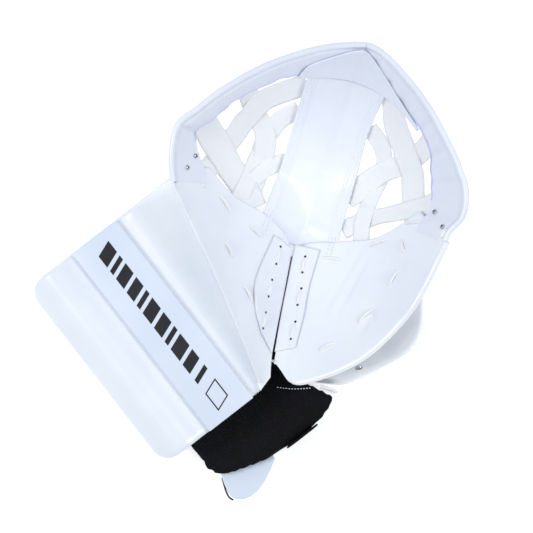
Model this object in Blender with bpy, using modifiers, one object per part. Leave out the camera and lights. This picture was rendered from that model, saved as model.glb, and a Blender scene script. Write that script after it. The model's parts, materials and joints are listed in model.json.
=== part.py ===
"""Hockey goalkeeper's catch glove, lying on its back with the pocket facing up.

+X runs from the wrist to the fingertips, +Y from the little finger to the thumb, +Z out of the
palm. The origin is on the floor, under the middle of the glove. The tables of points below are
in millimetres and counted from a working point on the floor; WORK_TO_ORIGIN moves them.
"""

import math

import bmesh
import bpy
from mathutils import Vector

MM = 0.001
WORK_TO_ORIGIN = Vector((-28.3, 8.5, 0.0))

# ---------------------------------------------------------------- driving dimensions (mm)
GAP = 0.5                 # air between two pieces that touch
LEATHER = 2.2             # synthetic leather skin on its backing
FOAM = 6.0                # closed-cell foam under the leather
LINER = 1.4               # fabric inside the glove
STRAP_THICKNESS = 1.5     # pocket webbing
STRAP_WIDTH = 17.0
POCKET_CENTRE = (95.0, 22.0)
POCKET_FLOOR = 2.6        # height of the deepest point of the pocket
CUFF_OUTER_X = -167.0     # long outer edge of the cuff board
CUFF_EDGE_Z = 60.0
CUFF_LIP_X, CUFF_LIP_Z = -143.0, 76.0
CUFF_VALLEY_X, CUFF_VALLEY_Z = -126.0, 68.0
STRIP_X = (-121.0, -67.0)
STRIP_Z = 70.0
STRIP_Y = (-93.0, 114.0)
STRIP_THICKNESS = 2.4
STRIP_MARGIN = 1.5        # each long side of the strip stops short of the flat's edge
CUFF_INNER_X, CUFF_INNER_Z = -62.0, 65.0
GUARD_THICKNESS = 3.2
GUARD_TOP_DROP = 24.0     # the guard's upper edge lies this far below the palm's edge
GUARD_INNER_Y = -62.0     # where the guard ends under the hand
BACKHAND_FOAM = 4.0
WRIST_PAD = 8.0
WRIST_Z, WRIST_RISE, WRIST_CURL = 13.0, 23.0, 2.2   # the lining curls up at its outer edge
WRIST_STRAP_WIDTH, WRIST_STRAP_LENGTH, WRIST_STRAP_THICKNESS = 36.0, 34.0, 2.5
STRAP_BASE_LENGTH, STRAP_BASE_THICKNESS = 28.0, 3.0
TAB_THICKNESS = 5.0
EYELET_RADIUS = 2.0
EYELET_LIFT = 1.2         # from the leather up to the middle of an eyelet's ring
RIVET_RADIUS = 4.0
GUARD_RIVET_RADIUS = 3.6
BREAK_STRIP = 1.8
BREAK_LIFT_THUMB, BREAK_LIFT_PALM = 3.2, 2.8   # top of each break strip above the leather
FINGER_RADIUS = 8.5
THUMB_RADIUS = 15.0
STIFFENER = 1.6
CUFF_Y = (-92.5, 114.5)
CUFF_CORNER = 16.0
CUFF_BOARD_Z = 53.0       # underside of the stiff board in the cuff
CUFF_FOAM_INSET, CUFF_COVER_INSET = 6.0, 1.0   # how far inside the skin's outline they end
CUFF_FOAM_DEPTH = 5.7     # top of the foam below the skin's outside
RIDGE_SEAM = 6.5          # the cuff's skin stops this far outside the ridge, at the seam
STRAP_HINGE = (-55.0, -150.5, 9.0)
TAB_HINGE = (-112.0, -131.0, 18.0)

# Edge of the pocket, all the way round: x, y, height, and how steep the wall is below it
# (1.3 is nearly a straight slope, 2.3 is a wall that turns late into a flat floor).
CREST = (
    (-57, -91, 72, 1.30), (-38, -28, 92, 1.45), (-18, 51, 110, 1.50), (-5, 108, 120, 1.60),
    (12, 132, 125, 1.90), (31, 147, 128, 2.20), (56, 147.5, 131, 2.30), (101, 145, 136, 2.30),
    (150, 133, 139, 2.20), (192, 113, 140, 2.20), (205, 104, 140, 2.20), (216, 91, 138, 2.20),
    (222, 46, 136, 2.20), (218, -4, 136, 2.20), (209, -43, 136, 2.00), (202, -61, 135, 1.80),
    (186, -78, 133, 1.60), (161, -85, 128, 1.50), (113, -109, 116, 1.50), (82, -119, 108, 1.50),
    (43, -124, 97, 1.50), (12, -120, 88, 1.40), (-17, -112, 79, 1.35), (-33, -104, 74, 1.30),
)

# Edge pairs of each panel: two rows of points, matched one to one, both lying on the bowl.
PALM_CREST = ((-34, -99), (-17, -111), (20, -120), (60, -121), (90, -115), (125, -102), (158, -86))
PALM_INNER = ((-31, -77), (-6, -54.5), (19, -32), (47, -10), (78, -29), (112, -42), (158, -53))
THUMB_CREST = ((-56, -90), (-46, -58), (-37, -28), (-29, 12), (-19, 50), (-11, 80), (-4, 106))
THUMB_INNER = ((-36, -75), (-12, -53), (12, -31), (39, -4), (35, 36), (23, 64), (24, 97))
RIM_THUMB_OUT = ((-3, 109), (6, 124), (17, 137), (31, 146))
RIM_THUMB_IN = ((25, 99), (28, 110), (32, 122), (40, 133))
RIM_LEFT_OUT = ((33, 146), (56, 147), (85, 146), (117, 141.5), (150, 132.5), (180, 118.5), (203, 105))
RIM_LEFT_IN = ((41, 133), (60, 131), (85, 132), (112, 127), (135, 121), (155, 107), (183, 83))
RIM_RIGHT_OUT = ((205.5, 103), (215.5, 89), (221, 66), (221.5, 44), (221, 20), (217.5, -4), (208.5, -42))
RIM_RIGHT_IN = ((185, 82), (193, 68), (201, 50), (204, 34), (204, 15), (201, -7), (188, -28))
RIM_PALM_OUT = ((208, -44), (201.5, -60), (186, -77), (160, -85))
RIM_PALM_IN = ((187, -30), (180, -39), (172, -48), (160, -54))
FLAP_OUT = ((182, 114), (203, 101), (217, 76))
FLAP_IN = ((158, 104), (183, 80), (200, 56))
T_LEFT = ((149.5, 104), (124, 90), (87, 63), (54, 42), (41, 33))
T_RIGHT = ((196, 50.5), (167, 36), (136, 13), (93, -18), (81, -26))
BREAK_THUMB_EDGE = ((-31.5, -69.5), (-10, -50), (12, -31), (42.5, -3.5))
BREAK_THUMB_OUT = ((-26, -50), (-17, -30), (0, -8), (38, 14))
BREAK_PALM_EDGE = ((-27, -72), (-4.5, -52.5), (17, -33), (48.5, -8))
BREAK_PALM_OUT = ((-10, -80), (14, -62), (35, -44), (62, -24))

# Centre lines of the webbing straps, and whether a strap passes over or under the others.
STRAPS = {
    "net_strap_thumb_1": (((50, 130), (47, 94), (38, 56)), "under"),
    "net_strap_thumb_2": (((96, 130), (84, 100), (69, 71), (58, 50)), "under"),
    "net_strap_thumb_3": (((138, 104), (101, 113), (63, 105), (33, 98)), "over"),
    "net_strap_thumb_4": (((110, 83), (78, 80), (48, 69), (30, 62)), "over"),
    "net_strap_palm_1": (((201, 38), (163, 4), (152, -35), (147, -47)), "under"),
    "net_strap_palm_2": (((122, -2), (117, -22), (112, -41)), "under"),
    "net_strap_palm_3": (((158, 22), (185, 5), (203, -5)), "over"),
    "net_strap_palm_4": (((97, -22), (130, -32), (162, -38), (188, -34)), "over"),
}

GUARD_SIDE = (                      # x of a section, and how far out (-y) the guard bulges
    (-20, -112), (-6, -134), (16, -142), (40, -147), (76, -149), (100, -140), (116, -116),
)
WRIST_OUT = ((-148, -115), (-134, -131), (-115, -142), (-85, -144), (-52, -140), (-26, -134))
WRIST_IN = ((-146, -66), (-128, -60), (-106, -58), (-82, -56), (-56, -54), (-30, -58))
TAB_OUTLINE = (
    (-136, -130), (-143, -150), (-140, -159), (-129, -166), (-109, -163), (-87, -150), (-88, -132),
)
THUMB_EYELETS = ((13, 112), (25, 116))
PALM_EYELETS = ((168, -60), (165, -75))
THUMB_RIVET = (15, 90)
GUARD_RIVETS = ((0.045, 0.08), (0.33, 0.08))   # along the guard, and down from its upper edge
INSIDE_HAND = (40, -90, 45)                   # a point in the room for the hand
THUMB_PAD_LOW, THUMB_PAD_HIGH = (-58, -2, 0.3), (10, 100, 36)

# Each finger stall's place up the palm's wall, and the stretch of the palm that they take.
FINGERS = (("index", 0.21), ("middle", 0.375), ("ring", 0.54), ("little", 0.70))
FINGER_SPAN = (0.56, 0.84)
THUMB_LINE = ((-29, 2, 55), (-26, 30, 58), (-21, 62, 62), (-14, 98, 66))

WHITE_LEATHER = (0.86, 0.88, 0.93)
PURE_WHITE = (0.93, 0.93, 0.95)
WEBBING = (0.88, 0.88, 0.93)
BLACK_FABRIC = (0.012, 0.012, 0.016)
IVORY_PLASTIC = (0.72, 0.71, 0.68)
GREY_FOAM = (0.20, 0.20, 0.21)
LINER_CLOTH = (0.30, 0.31, 0.34)
STIFF_PLASTIC = (0.10, 0.10, 0.11)
NICKEL = (0.55, 0.56, 0.58)


# ---------------------------------------------------------------- curves and surfaces

def spline(points, s):
    """Point of a Catmull-Rom curve through the points, for s from 0 to 1."""
    last = len(points) - 1
    place = min(max(s, 0.0), 1.0) * last
    i = min(int(place), last - 1)
    t = place - i
    p1, p2 = Vector(points[i]), Vector(points[i + 1])
    p0 = Vector(points[i - 1]) if i > 0 else 2 * p1 - p2
    p3 = Vector(points[i + 2]) if i + 2 <= last else 2 * p2 - p1
    return 0.5 * (2 * p1 + (p2 - p0) * t + (2 * p0 - 5 * p1 + 4 * p2 - p3) * t ** 2
                  + (3 * p1 - p0 - 3 * p2 + p3) * t ** 3)


def crest_at(angle):
    """Radius, height and steepness of the pocket's edge in one direction from its centre."""
    cx, cy = POCKET_CENTRE
    around = sorted(
        (math.atan2(y - cy, x - cx), math.hypot(x - cx, y - cy), z, p) for x, y, z, p in CREST
    )
    turn = 2 * math.pi
    before = (around[-1][0] - turn, *around[-1][1:])
    after = (around[0][0] + turn, *around[0][1:])
    around = [before, *around, after]
    for low, high in zip(around, around[1:]):
        if low[0] <= angle <= high[0]:
            t = (angle - low[0]) / (high[0] - low[0])
            return [a + (b - a) * t for a, b in zip(low[1:], high[1:])]
    return around[1][1:]


def bowl_height(x, y):
    """Height of the pocket's inner surface. It goes on outwards as a gentle slope past the edge."""
    cx, cy = POCKET_CENTRE
    radius, height, steep = crest_at(math.atan2(y - cy, x - cx))
    share = math.hypot(x - cx, y - cy) / radius
    return POCKET_FLOOR + (height - POCKET_FLOOR) * share ** steep


def point_under(height, x, y, depth):
    """Point at a depth under a surface z = height(x, y), measured square to it."""
    step = 1.5
    slope_x = (height(x + step, y) - height(x - step, y)) / (2 * step)
    slope_y = (height(x, y + step) - height(x, y - step)) / (2 * step)
    normal = Vector((-slope_x, -slope_y, 1.0)).normalized()
    return Vector((x, y, height(x, y))) - normal * depth


def bowl_point(x, y, depth):
    return point_under(bowl_height, x, y, depth)


def smooth_step(t):
    t = min(max(t, 0.0), 1.0)
    return t * t * (3 - 2 * t)


def ridge_at(y):
    """x and height of the thumb's ridge, where the cuff's surface meets the pocket's edge."""
    ridge = CREST[:5]
    for (xa, ya, za, _), (xb, yb, zb, _) in zip(ridge, ridge[1:]):
        if y <= yb:
            t = max((y - ya) / (yb - ya), 0.0)
            return xa + (xb - xa) * t, za + (zb - za) * t
    return ridge[-1][0], ridge[-1][2]


def cuff_height(x, y):
    """Height of the cuff and outer thumb: rolled lip, valley, flat board, then up to the ridge."""
    if x < CUFF_LIP_X:
        t = (x - CUFF_OUTER_X) / (CUFF_LIP_X - CUFF_OUTER_X)
        return CUFF_EDGE_Z + (CUFF_LIP_Z - CUFF_EDGE_Z) * math.sin(min(max(t, 0), 1) * math.pi / 2)
    if x < CUFF_VALLEY_X:
        t = (x - CUFF_LIP_X) / (CUFF_VALLEY_X - CUFF_LIP_X)
        return CUFF_LIP_Z + (CUFF_VALLEY_Z - CUFF_LIP_Z) * smooth_step(t)
    if x < STRIP_X[1]:
        t = (x - CUFF_VALLEY_X) / (STRIP_X[0] - CUFF_VALLEY_X)
        return CUFF_VALLEY_Z + (STRIP_Z - CUFF_VALLEY_Z) * smooth_step(t)
    ridge_x, ridge_z = ridge_at(y)
    if x < CUFF_INNER_X:
        t = (x - STRIP_X[1]) / (CUFF_INNER_X - STRIP_X[1])
        return STRIP_Z + (CUFF_INNER_Z - STRIP_Z) * smooth_step(t)
    t = (x - CUFF_INNER_X) / max(ridge_x - CUFF_INNER_X, 1.0)
    return CUFF_INNER_Z + (ridge_z - CUFF_INNER_Z) * min(t, 1.0) ** 1.7


# ---------------------------------------------------------------- Blender helpers

def material(name, colour, roughness, metallic=0.0):
    made = bpy.data.materials.get(name) or bpy.data.materials.new(name)
    made.use_nodes = True
    shader = made.node_tree.nodes["Principled BSDF"]
    shader.inputs["Base Color"].default_value = (*colour, 1.0)
    shader.inputs["Roughness"].default_value = roughness
    shader.inputs["Metallic"].default_value = metallic
    return made


def to_world(point):
    """Working millimetres to metres from the origin."""
    return (Vector(point) + WORK_TO_ORIGIN) * MM


def new_object(name, bm, finish):
    mesh = bpy.data.meshes.new(name)
    bm.to_mesh(mesh)
    bm.free()
    mesh.shade_smooth()
    mesh.set_sharp_from_angle(angle=math.radians(40))
    made = bpy.data.objects.new(name, mesh)
    mesh.materials.append(material(name, *finish))
    parts.objects.link(made)
    return made


def solidify(made, thickness):
    """Give an open surface its thickness, on the side away from its normals."""
    wall = made.modifiers.new("wall", "SOLIDIFY")
    wall.thickness = thickness * MM
    wall.offset = -1.0
    return made


def sheet(name, place, along, across, thickness, finish):
    """A solid sheet: a grid whose points are put by place(u, v), with its thickness below it."""
    bm = bmesh.new()
    bmesh.ops.create_grid(bm, x_segments=along, y_segments=across, size=0.5)
    for vert in bm.verts:
        vert.co = to_world(place(vert.co.x + 0.5, vert.co.y + 0.5))
    bm.normal_update()
    if sum(face.normal.z * face.calc_area() for face in bm.faces) < 0:
        bmesh.ops.reverse_faces(bm, faces=bm.faces)
    return solidify(new_object(name, bm, finish), thickness)


def panel(name, edge_a, edge_b, depth, along, across, thickness, finish):
    """A sheet stretched between two edges on the bowl, at a depth under the bowl's surface."""

    def place(u, v):
        flat = spline(edge_a, u).lerp(spline(edge_b, u), v)
        return bowl_point(flat.x, flat.y, depth)

    return sheet(name, place, along, across, thickness, finish)


def strap(name, centres, depth, width, thickness, along, finish):
    """A strip of webbing that follows a centre line over the bowl."""

    def place(u, v):
        here = spline(centres, u)
        ahead = spline(centres, min(u + 0.02, 1.0)) - spline(centres, max(u - 0.02, 0.0))
        side = Vector((-ahead.y, ahead.x)).normalized()
        flat = here + side * width * (v - 0.5)
        return bowl_point(flat.x, flat.y, depth)

    return sheet(name, place, along, 2, thickness, finish)


def inset(edge, other, distance):
    """The edge moved by a distance towards the matching points of the other edge."""
    moved = []
    for point, toward in zip(edge, other):
        here, there = Vector(point), Vector(toward)
        moved.append(tuple(here + (there - here).normalized() * distance))
    return moved


def sleeve(name, centres, radii, wall, around, along, finish):
    """A hollow tube round a centre line, closed at its tip and open where the hand goes in."""
    bm = bmesh.new()
    bmesh.ops.create_grid(bm, x_segments=around, y_segments=along, size=0.5)
    for vert in bm.verts:
        turn, s = (vert.co.x + 0.5) * 2 * math.pi, vert.co.y + 0.5
        here = spline(centres, s)
        ahead = (spline(centres, min(s + 0.02, 1.0)) - spline(centres, max(s - 0.02, 0.0))).normalized()
        side = ahead.cross(Vector((0, 0, 1))).normalized()
        up = side.cross(ahead)
        radius = radii[0] + (radii[1] - radii[0]) * s
        vert.co = to_world(here + (side * math.cos(turn) + up * math.sin(turn)) * radius)
    bmesh.ops.remove_doubles(bm, verts=bm.verts, dist=0.00002)
    tip = to_world(centres[-1])
    open_edges = [e for e in bm.edges if e.is_boundary]
    near_tip = [e for e in open_edges if (e.verts[0].co - tip).length < (radii[1] + 3) * MM]
    bmesh.ops.contextual_create(bm, geom=near_tip)
    bmesh.ops.recalc_face_normals(bm, faces=bm.faces)
    centre = to_world(spline(centres, 0.4))
    nearest = min(bm.faces, key=lambda f: (f.calc_center_median() - centre).length)
    if (nearest.calc_center_median() - centre).dot(nearest.normal) < 0:
        bmesh.ops.reverse_faces(bm, faces=bm.faces)
    return solidify(new_object(name, bm, finish), wall)


def block(name, low, high, bevel, segments, finish, taper=0.0):
    """A cushion-like block with rounded edges, narrower at the bottom by the taper."""
    bm = bmesh.new()
    bmesh.ops.create_cube(bm, size=1.0)
    low, high = Vector(low), Vector(high)
    for vert in bm.verts:
        share = vert.co + Vector((0.5, 0.5, 0.5))
        point = Vector([low[i] + (high[i] - low[i]) * share[i] for i in range(3)])
        if vert.co.z < 0:
            middle = (low + high) / 2
            point.x += (middle.x - point.x) * taper
            point.y += (middle.y - point.y) * taper
        vert.co = to_world(point)
    made = new_object(name, bm, finish)
    edge = made.modifiers.new("rounding", "BEVEL")
    edge.width = bevel * MM
    edge.segments = segments
    return made


def flat_piece(name, outline, z, thickness, finish):
    """A flat piece cut from sheet: a 2D curve filled and extruded by half its thickness."""
    data = bpy.data.curves.new(name, "CURVE")
    data.dimensions = "2D"
    data.fill_mode = "BOTH"
    data.extrude = thickness * MM / 2
    line = data.splines.new("POLY")
    line.points.add(len(outline) - 1)
    middle = to_world((*outline[0], z + thickness / 2))
    for point, (x, y) in zip(line.points, outline):
        point.co = (*(to_world((x, y, z)) - middle)[:2], 0.0, 1.0)
    line.use_cyclic_u = True
    made = bpy.data.objects.new(name, data)
    made.location = middle
    data.materials.append(material(name, *finish))
    parts.objects.link(made)
    return made


def ring(name, x, y, finish):
    """A metal eyelet standing on the bowl's surface."""
    centre = bowl_point(x, y, -EYELET_LIFT)
    outward = (centre - bowl_point(x, y, 0)).normalized()
    bpy.ops.mesh.primitive_torus_add(
        major_segments=14, minor_segments=6,
        major_radius=EYELET_RADIUS * MM, minor_radius=EYELET_RADIUS * 0.4 * MM,
        location=to_world(centre), rotation=outward.to_track_quat("Z", "Y").to_euler(),
    )
    return adopt(name, finish)


def rivet(name, place, normal, radius, finish):
    """A domed rivet head, flat underneath."""
    bm = bmesh.new()
    bmesh.ops.create_uvsphere(bm, u_segments=12, v_segments=8, radius=radius * MM)
    below = [v for v in bm.verts if v.co.z < -0.00001]
    bmesh.ops.delete(bm, geom=below, context="VERTS")
    rim_edges = [e for e in bm.edges if e.is_boundary]
    bmesh.ops.contextual_create(bm, geom=rim_edges)
    bmesh.ops.recalc_face_normals(bm, faces=bm.faces)
    for vert in bm.verts:
        vert.co.z *= 0.45
    made = new_object(name, bm, finish)
    made.location = to_world(place)
    made.rotation_euler = Vector(normal).to_track_quat("Z", "Y").to_euler()
    return made


def adopt(name, finish):
    """Take the object an operator has just made as a named part."""
    made = bpy.context.object
    made.name = name
    made.data.name = name
    for holder in list(made.users_collection):
        holder.objects.unlink(made)
    parts.objects.link(made)
    made.data.materials.append(material(name, *finish))
    made.data.shade_smooth()
    return made


# ---------------------------------------------------------------- thumb side and cuff

def cuff_place(inset_mm, to_ridge, height, lowered):
    """Points of one layer of the cuff: its rounded outline drawn in, and lowered from a height."""
    def place(u, v):
        y_low, y_high = CUFF_Y[0] + inset_mm, CUFF_Y[1] - inset_mm
        y = y_low + (y_high - y_low) * u
        to_end = min(u, 1 - u) * (y_high - y_low)
        short = max(CUFF_CORNER - to_end, 0.0)
        pulled = CUFF_CORNER - math.sqrt(CUFF_CORNER ** 2 - short ** 2)
        right = max(ridge_at(y)[0] - RIDGE_SEAM, CUFF_INNER_X) if to_ridge else CUFF_INNER_X
        left = CUFF_OUTER_X + inset_mm + pulled
        x = left + (right - left) * v
        return Vector((x, y, height(x, y) - lowered))
    return place


def filled(name, place, bottom_z, along, across, finish):
    """A solid between the surface place(u, v) and a flat bottom."""
    bm = bmesh.new()
    bmesh.ops.create_grid(bm, x_segments=along, y_segments=across, size=0.5)
    for vert in bm.verts:
        vert.co = to_world(place(vert.co.x + 0.5, vert.co.y + 0.5))
    grown = bmesh.ops.extrude_face_region(bm, geom=bm.faces[:])
    for item in grown["geom"]:
        if isinstance(item, bmesh.types.BMVert):
            item.co.z = bottom_z * MM
    bmesh.ops.recalc_face_normals(bm, faces=bm.faces)
    return new_object(name, bm, finish)


def build_cuff():
    sheet("cuff_shell", cuff_place(0.0, True, cuff_height, 0.0), 14, 24, LEATHER, (WHITE_LEATHER, 0.2))
    foam_top = cuff_place(CUFF_FOAM_INSET, False, cuff_height, CUFF_FOAM_DEPTH)
    filled("cuff_foam", foam_top, CUFF_BOARD_Z + STIFFENER + GAP, 12, 16, (GREY_FOAM, 0.9))
    board_z, cover_z = CUFF_BOARD_Z + STIFFENER, CUFF_BOARD_Z - GAP
    board = cuff_place(CUFF_FOAM_INSET, False, lambda x, y: board_z, 0.0)
    sheet("cuff_stiffener", board, 12, 2, STIFFENER, (STIFF_PLASTIC, 0.5))
    cover = cuff_place(CUFF_COVER_INSET, False, lambda x, y: cover_z, 0.0)
    sheet("cuff_back_cover", cover, 12, 2, LEATHER, (WHITE_LEATHER, 0.35))

    def strip_place(u, v):
        width = STRIP_X[1] - STRIP_X[0] - 2 * STRIP_MARGIN
        x = STRIP_X[0] + STRIP_MARGIN + width * v
        y = STRIP_Y[0] + (STRIP_Y[1] - STRIP_Y[0]) * u
        return Vector((x, y, STRIP_Z + STRIP_THICKNESS + GAP))

    sheet("cuff_strip", strip_place, 1, 1, STRIP_THICKNESS, (PURE_WHITE, 0.3))


def build_thumb():
    panel("thumb_face", THUMB_CREST, THUMB_INNER, 0.0, 20, 8, LEATHER, (WHITE_LEATHER, 0.2))
    crest = inset(THUMB_CREST, THUMB_INNER, 9)
    inner = inset(THUMB_INNER, THUMB_CREST, 10)
    panel("thumb_foam", crest, inner, LEATHER + 3 * GAP, 16, 4, FOAM - 2, (GREY_FOAM, 0.9))
    radii = (THUMB_RADIUS, THUMB_RADIUS - 4)
    sleeve("thumb_stall", THUMB_LINE, radii, LINER, 14, 8, (LINER_CLOTH, 0.95))
    block("thumb_back_pad", THUMB_PAD_LOW, THUMB_PAD_HIGH, 9, 3, (WHITE_LEATHER, 0.3), taper=0.35)
    panel("break_strip_thumb", BREAK_THUMB_EDGE, BREAK_THUMB_OUT, -BREAK_LIFT_THUMB, 10, 2,
          BREAK_STRIP, (PURE_WHITE, 0.35))
    panel("rim_thumb_end", RIM_THUMB_OUT, RIM_THUMB_IN, 0.0, 8, 4, LEATHER, (WHITE_LEATHER, 0.25))
    for number, (x, y) in enumerate(THUMB_EYELETS, 1):
        ring(f"eyelet_thumb_{number}", x, y, (NICKEL, 0.3, 1.0))
    outward = bowl_point(*THUMB_RIVET, -5) - bowl_point(*THUMB_RIVET, 0)
    rivet("rivet_thumb", bowl_point(*THUMB_RIVET, -GAP), outward, RIVET_RADIUS, (PURE_WHITE, 0.3))


# ---------------------------------------------------------------- hand side

def finger_centres(share, start_u, end_u):
    """Centre line of one finger stall: a share of the way from the palm's edge to its crest."""
    centres = []
    for step in range(5):
        u = start_u + (end_u - start_u) * step / 4
        flat = spline(PALM_INNER, u).lerp(spline(PALM_CREST, u), share)
        depth = LEATHER + FOAM + LINER + 4 * GAP + FINGER_RADIUS + 0.8
        centres.append(bowl_point(flat.x, flat.y, depth))
    return centres


def build_palm():
    panel("palm_shell", PALM_CREST, PALM_INNER, 0.0, 22, 9, LEATHER, (WHITE_LEATHER, 0.15))
    crest = inset(PALM_CREST, PALM_INNER, 8)
    inner = inset(PALM_INNER, PALM_CREST, 8)
    depth = LEATHER + 2 * GAP
    panel("palm_foam", crest, inner, depth, 18, 5, FOAM - 1, (GREY_FOAM, 0.9))
    panel("palm_liner", inset(crest, inner, 2), inset(inner, crest, 2), depth + FOAM - 1 + 2 * GAP,
          18, 4, LINER, (LINER_CLOTH, 0.95))
    for finger, share in FINGERS:
        centres = finger_centres(share, *FINGER_SPAN)
        sleeve(f"finger_stall_{finger}", centres, (FINGER_RADIUS, FINGER_RADIUS - 2.5), LINER,
               10, 5, (LINER_CLOTH, 0.95))
    panel("break_strip_palm", BREAK_PALM_EDGE, BREAK_PALM_OUT, -BREAK_LIFT_PALM, 10, 2,
          BREAK_STRIP, (PURE_WHITE, 0.35))
    panel("rim_palm_end", RIM_PALM_OUT, RIM_PALM_IN, 0.0, 10, 4, LEATHER, (WHITE_LEATHER, 0.2))
    for number, (x, y) in enumerate(PALM_EYELETS, 1):
        ring(f"eyelet_palm_{number}", x, y, (NICKEL, 0.3, 1.0))


def guard_point(u, v):
    """Outside of the backhand guard: from under the palm's edge, round and in along the floor."""
    y_out = spline(GUARD_SIDE, u).y
    x = GUARD_SIDE[0][0] + (GUARD_SIDE[-1][0] - GUARD_SIDE[0][0]) * u
    crest_y = spline(PALM_CREST, (x - PALM_CREST[0][0]) / (PALM_CREST[-1][0] - PALM_CREST[0][0])).y
    top_z = bowl_height(x, crest_y) - GUARD_TOP_DROP
    section = ((crest_y - 2, top_z), (y_out + 4, top_z - 12), (y_out, 34), (y_out + 7, 11),
               (y_out + 24, 0), (y_out + 40, 0), (GUARD_INNER_Y, 0))
    y, z = spline(section, v)
    return Vector((x, y, max(z, 0.0)))


def sunk(place, depth, inside):
    """The surface place(u, v) moved square to itself by a depth, towards a point inside."""
    def moved(u, v):
        step = 0.01
        here = place(u, v)
        along = place(min(u + step, 1), v) - place(max(u - step, 0), v)
        across = place(u, min(v + step, 1)) - place(u, max(v - step, 0))
        normal = along.cross(across).normalized()
        if normal.dot(Vector(inside) - here) < 0:
            normal.negate()
        return here + normal * depth
    return moved


def build_backhand():
    guard = sheet("backhand_guard", guard_point, 16, 18, GUARD_THICKNESS, (IVORY_PLASTIC, 0.25))
    face_outward(guard, INSIDE_HAND)

    def inner_share(u, v):
        return guard_point(0.05 + 0.90 * u, 0.08 + 0.88 * v)

    lining = sunk(inner_share, GUARD_THICKNESS + 5 * GAP, INSIDE_HAND)
    foam = sheet("backhand_foam", lining, 14, 16, BACKHAND_FOAM, (BLACK_FABRIC, 0.95))
    face_outward(foam, INSIDE_HAND)

    for number, (u, v) in enumerate(GUARD_RIVETS, 1):
        on_guard = guard_point(u, v)
        lifted = sunk(guard_point, -GAP, INSIDE_HAND)(u, v)
        rivet(f"guard_rivet_{number}", lifted, lifted - on_guard, GUARD_RIVET_RADIUS,
              (NICKEL, 0.3, 1.0))


def face_outward(made, inside):
    """Turn a surface so that its thickness goes towards a point inside."""
    mesh = made.data
    centre = to_world(inside)
    bm = bmesh.new()
    bm.from_mesh(mesh)
    outward = sum((f.calc_center_median() - centre).dot(f.normal) * f.calc_area() for f in bm.faces)
    if outward < 0:
        bmesh.ops.reverse_faces(bm, faces=bm.faces)
    bm.to_mesh(mesh)
    bm.free()


def build_wrist():
    def wrist_place(u, v):
        flat = spline(WRIST_OUT, u).lerp(spline(WRIST_IN, u), v)
        return Vector((flat.x, flat.y, WRIST_Z + WRIST_RISE * (1 - v) ** WRIST_CURL))

    sheet("wrist_pad", wrist_place, 14, 8, WRIST_PAD, (BLACK_FABRIC, 0.95))
    flat_piece("wrist_tab", TAB_OUTLINE, TAB_HINGE[2] - TAB_THICKNESS / 2, TAB_THICKNESS,
               (PURE_WHITE, 0.3))
    x, y, z = STRAP_HINGE
    half = WRIST_STRAP_WIDTH / 2
    block("strap_base", (x - half, y + 4 * GAP, z - STRAP_BASE_THICKNESS),
          (x + half, y + STRAP_BASE_LENGTH, z), 0.8, 1, (BLACK_FABRIC, 0.9))
    block("wrist_strap", (x - half, y, z + GAP),
          (x + half, y + WRIST_STRAP_THICKNESS, z + WRIST_STRAP_LENGTH), 0.8, 1, (BLACK_FABRIC, 0.9))


# ---------------------------------------------------------------- pocket

def build_pocket():
    panel("t_panel", T_LEFT, T_RIGHT, 0.0, 18, 8, LEATHER - 0.2, (WHITE_LEATHER, 0.3))
    panel("rim_thumb_side", RIM_LEFT_OUT, RIM_LEFT_IN, 0.0, 18, 3, LEATHER, (WHITE_LEATHER, 0.25))
    panel("rim_finger_side", RIM_RIGHT_OUT, RIM_RIGHT_IN, 0.0, 18, 3, LEATHER, (WHITE_LEATHER, 0.2))
    panel("t_flap", FLAP_OUT, FLAP_IN, LEATHER + 3 * GAP, 8, 4, 1.6, (WHITE_LEATHER, 0.3))
    depths = {"over": LEATHER + GAP, "under": LEATHER + STRAP_THICKNESS + 4 * GAP}
    for name, (centres, lay) in STRAPS.items():
        strap(name, centres, depths[lay], STRAP_WIDTH, STRAP_THICKNESS, 10, (WEBBING, 0.6))


def main():
    for old in list(bpy.data.objects):
        bpy.data.objects.remove(old, do_unlink=True)
    global parts
    parts = bpy.data.collections.new("catch_glove")
    bpy.context.scene.collection.children.link(parts)
    build_cuff()
    build_thumb()
    build_palm()
    build_backhand()
    build_wrist()
    build_pocket()


main()
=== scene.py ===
# %% [markdown]
# A goalkeeper's catch glove is a deep pocket hung from a stiff frame of padded leather. This
# lesson dresses a packed, jointed model of it: the model gives the bodies, the joints and the
# space that each part may fill, and each cell below makes one visible piece and says why.

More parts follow.
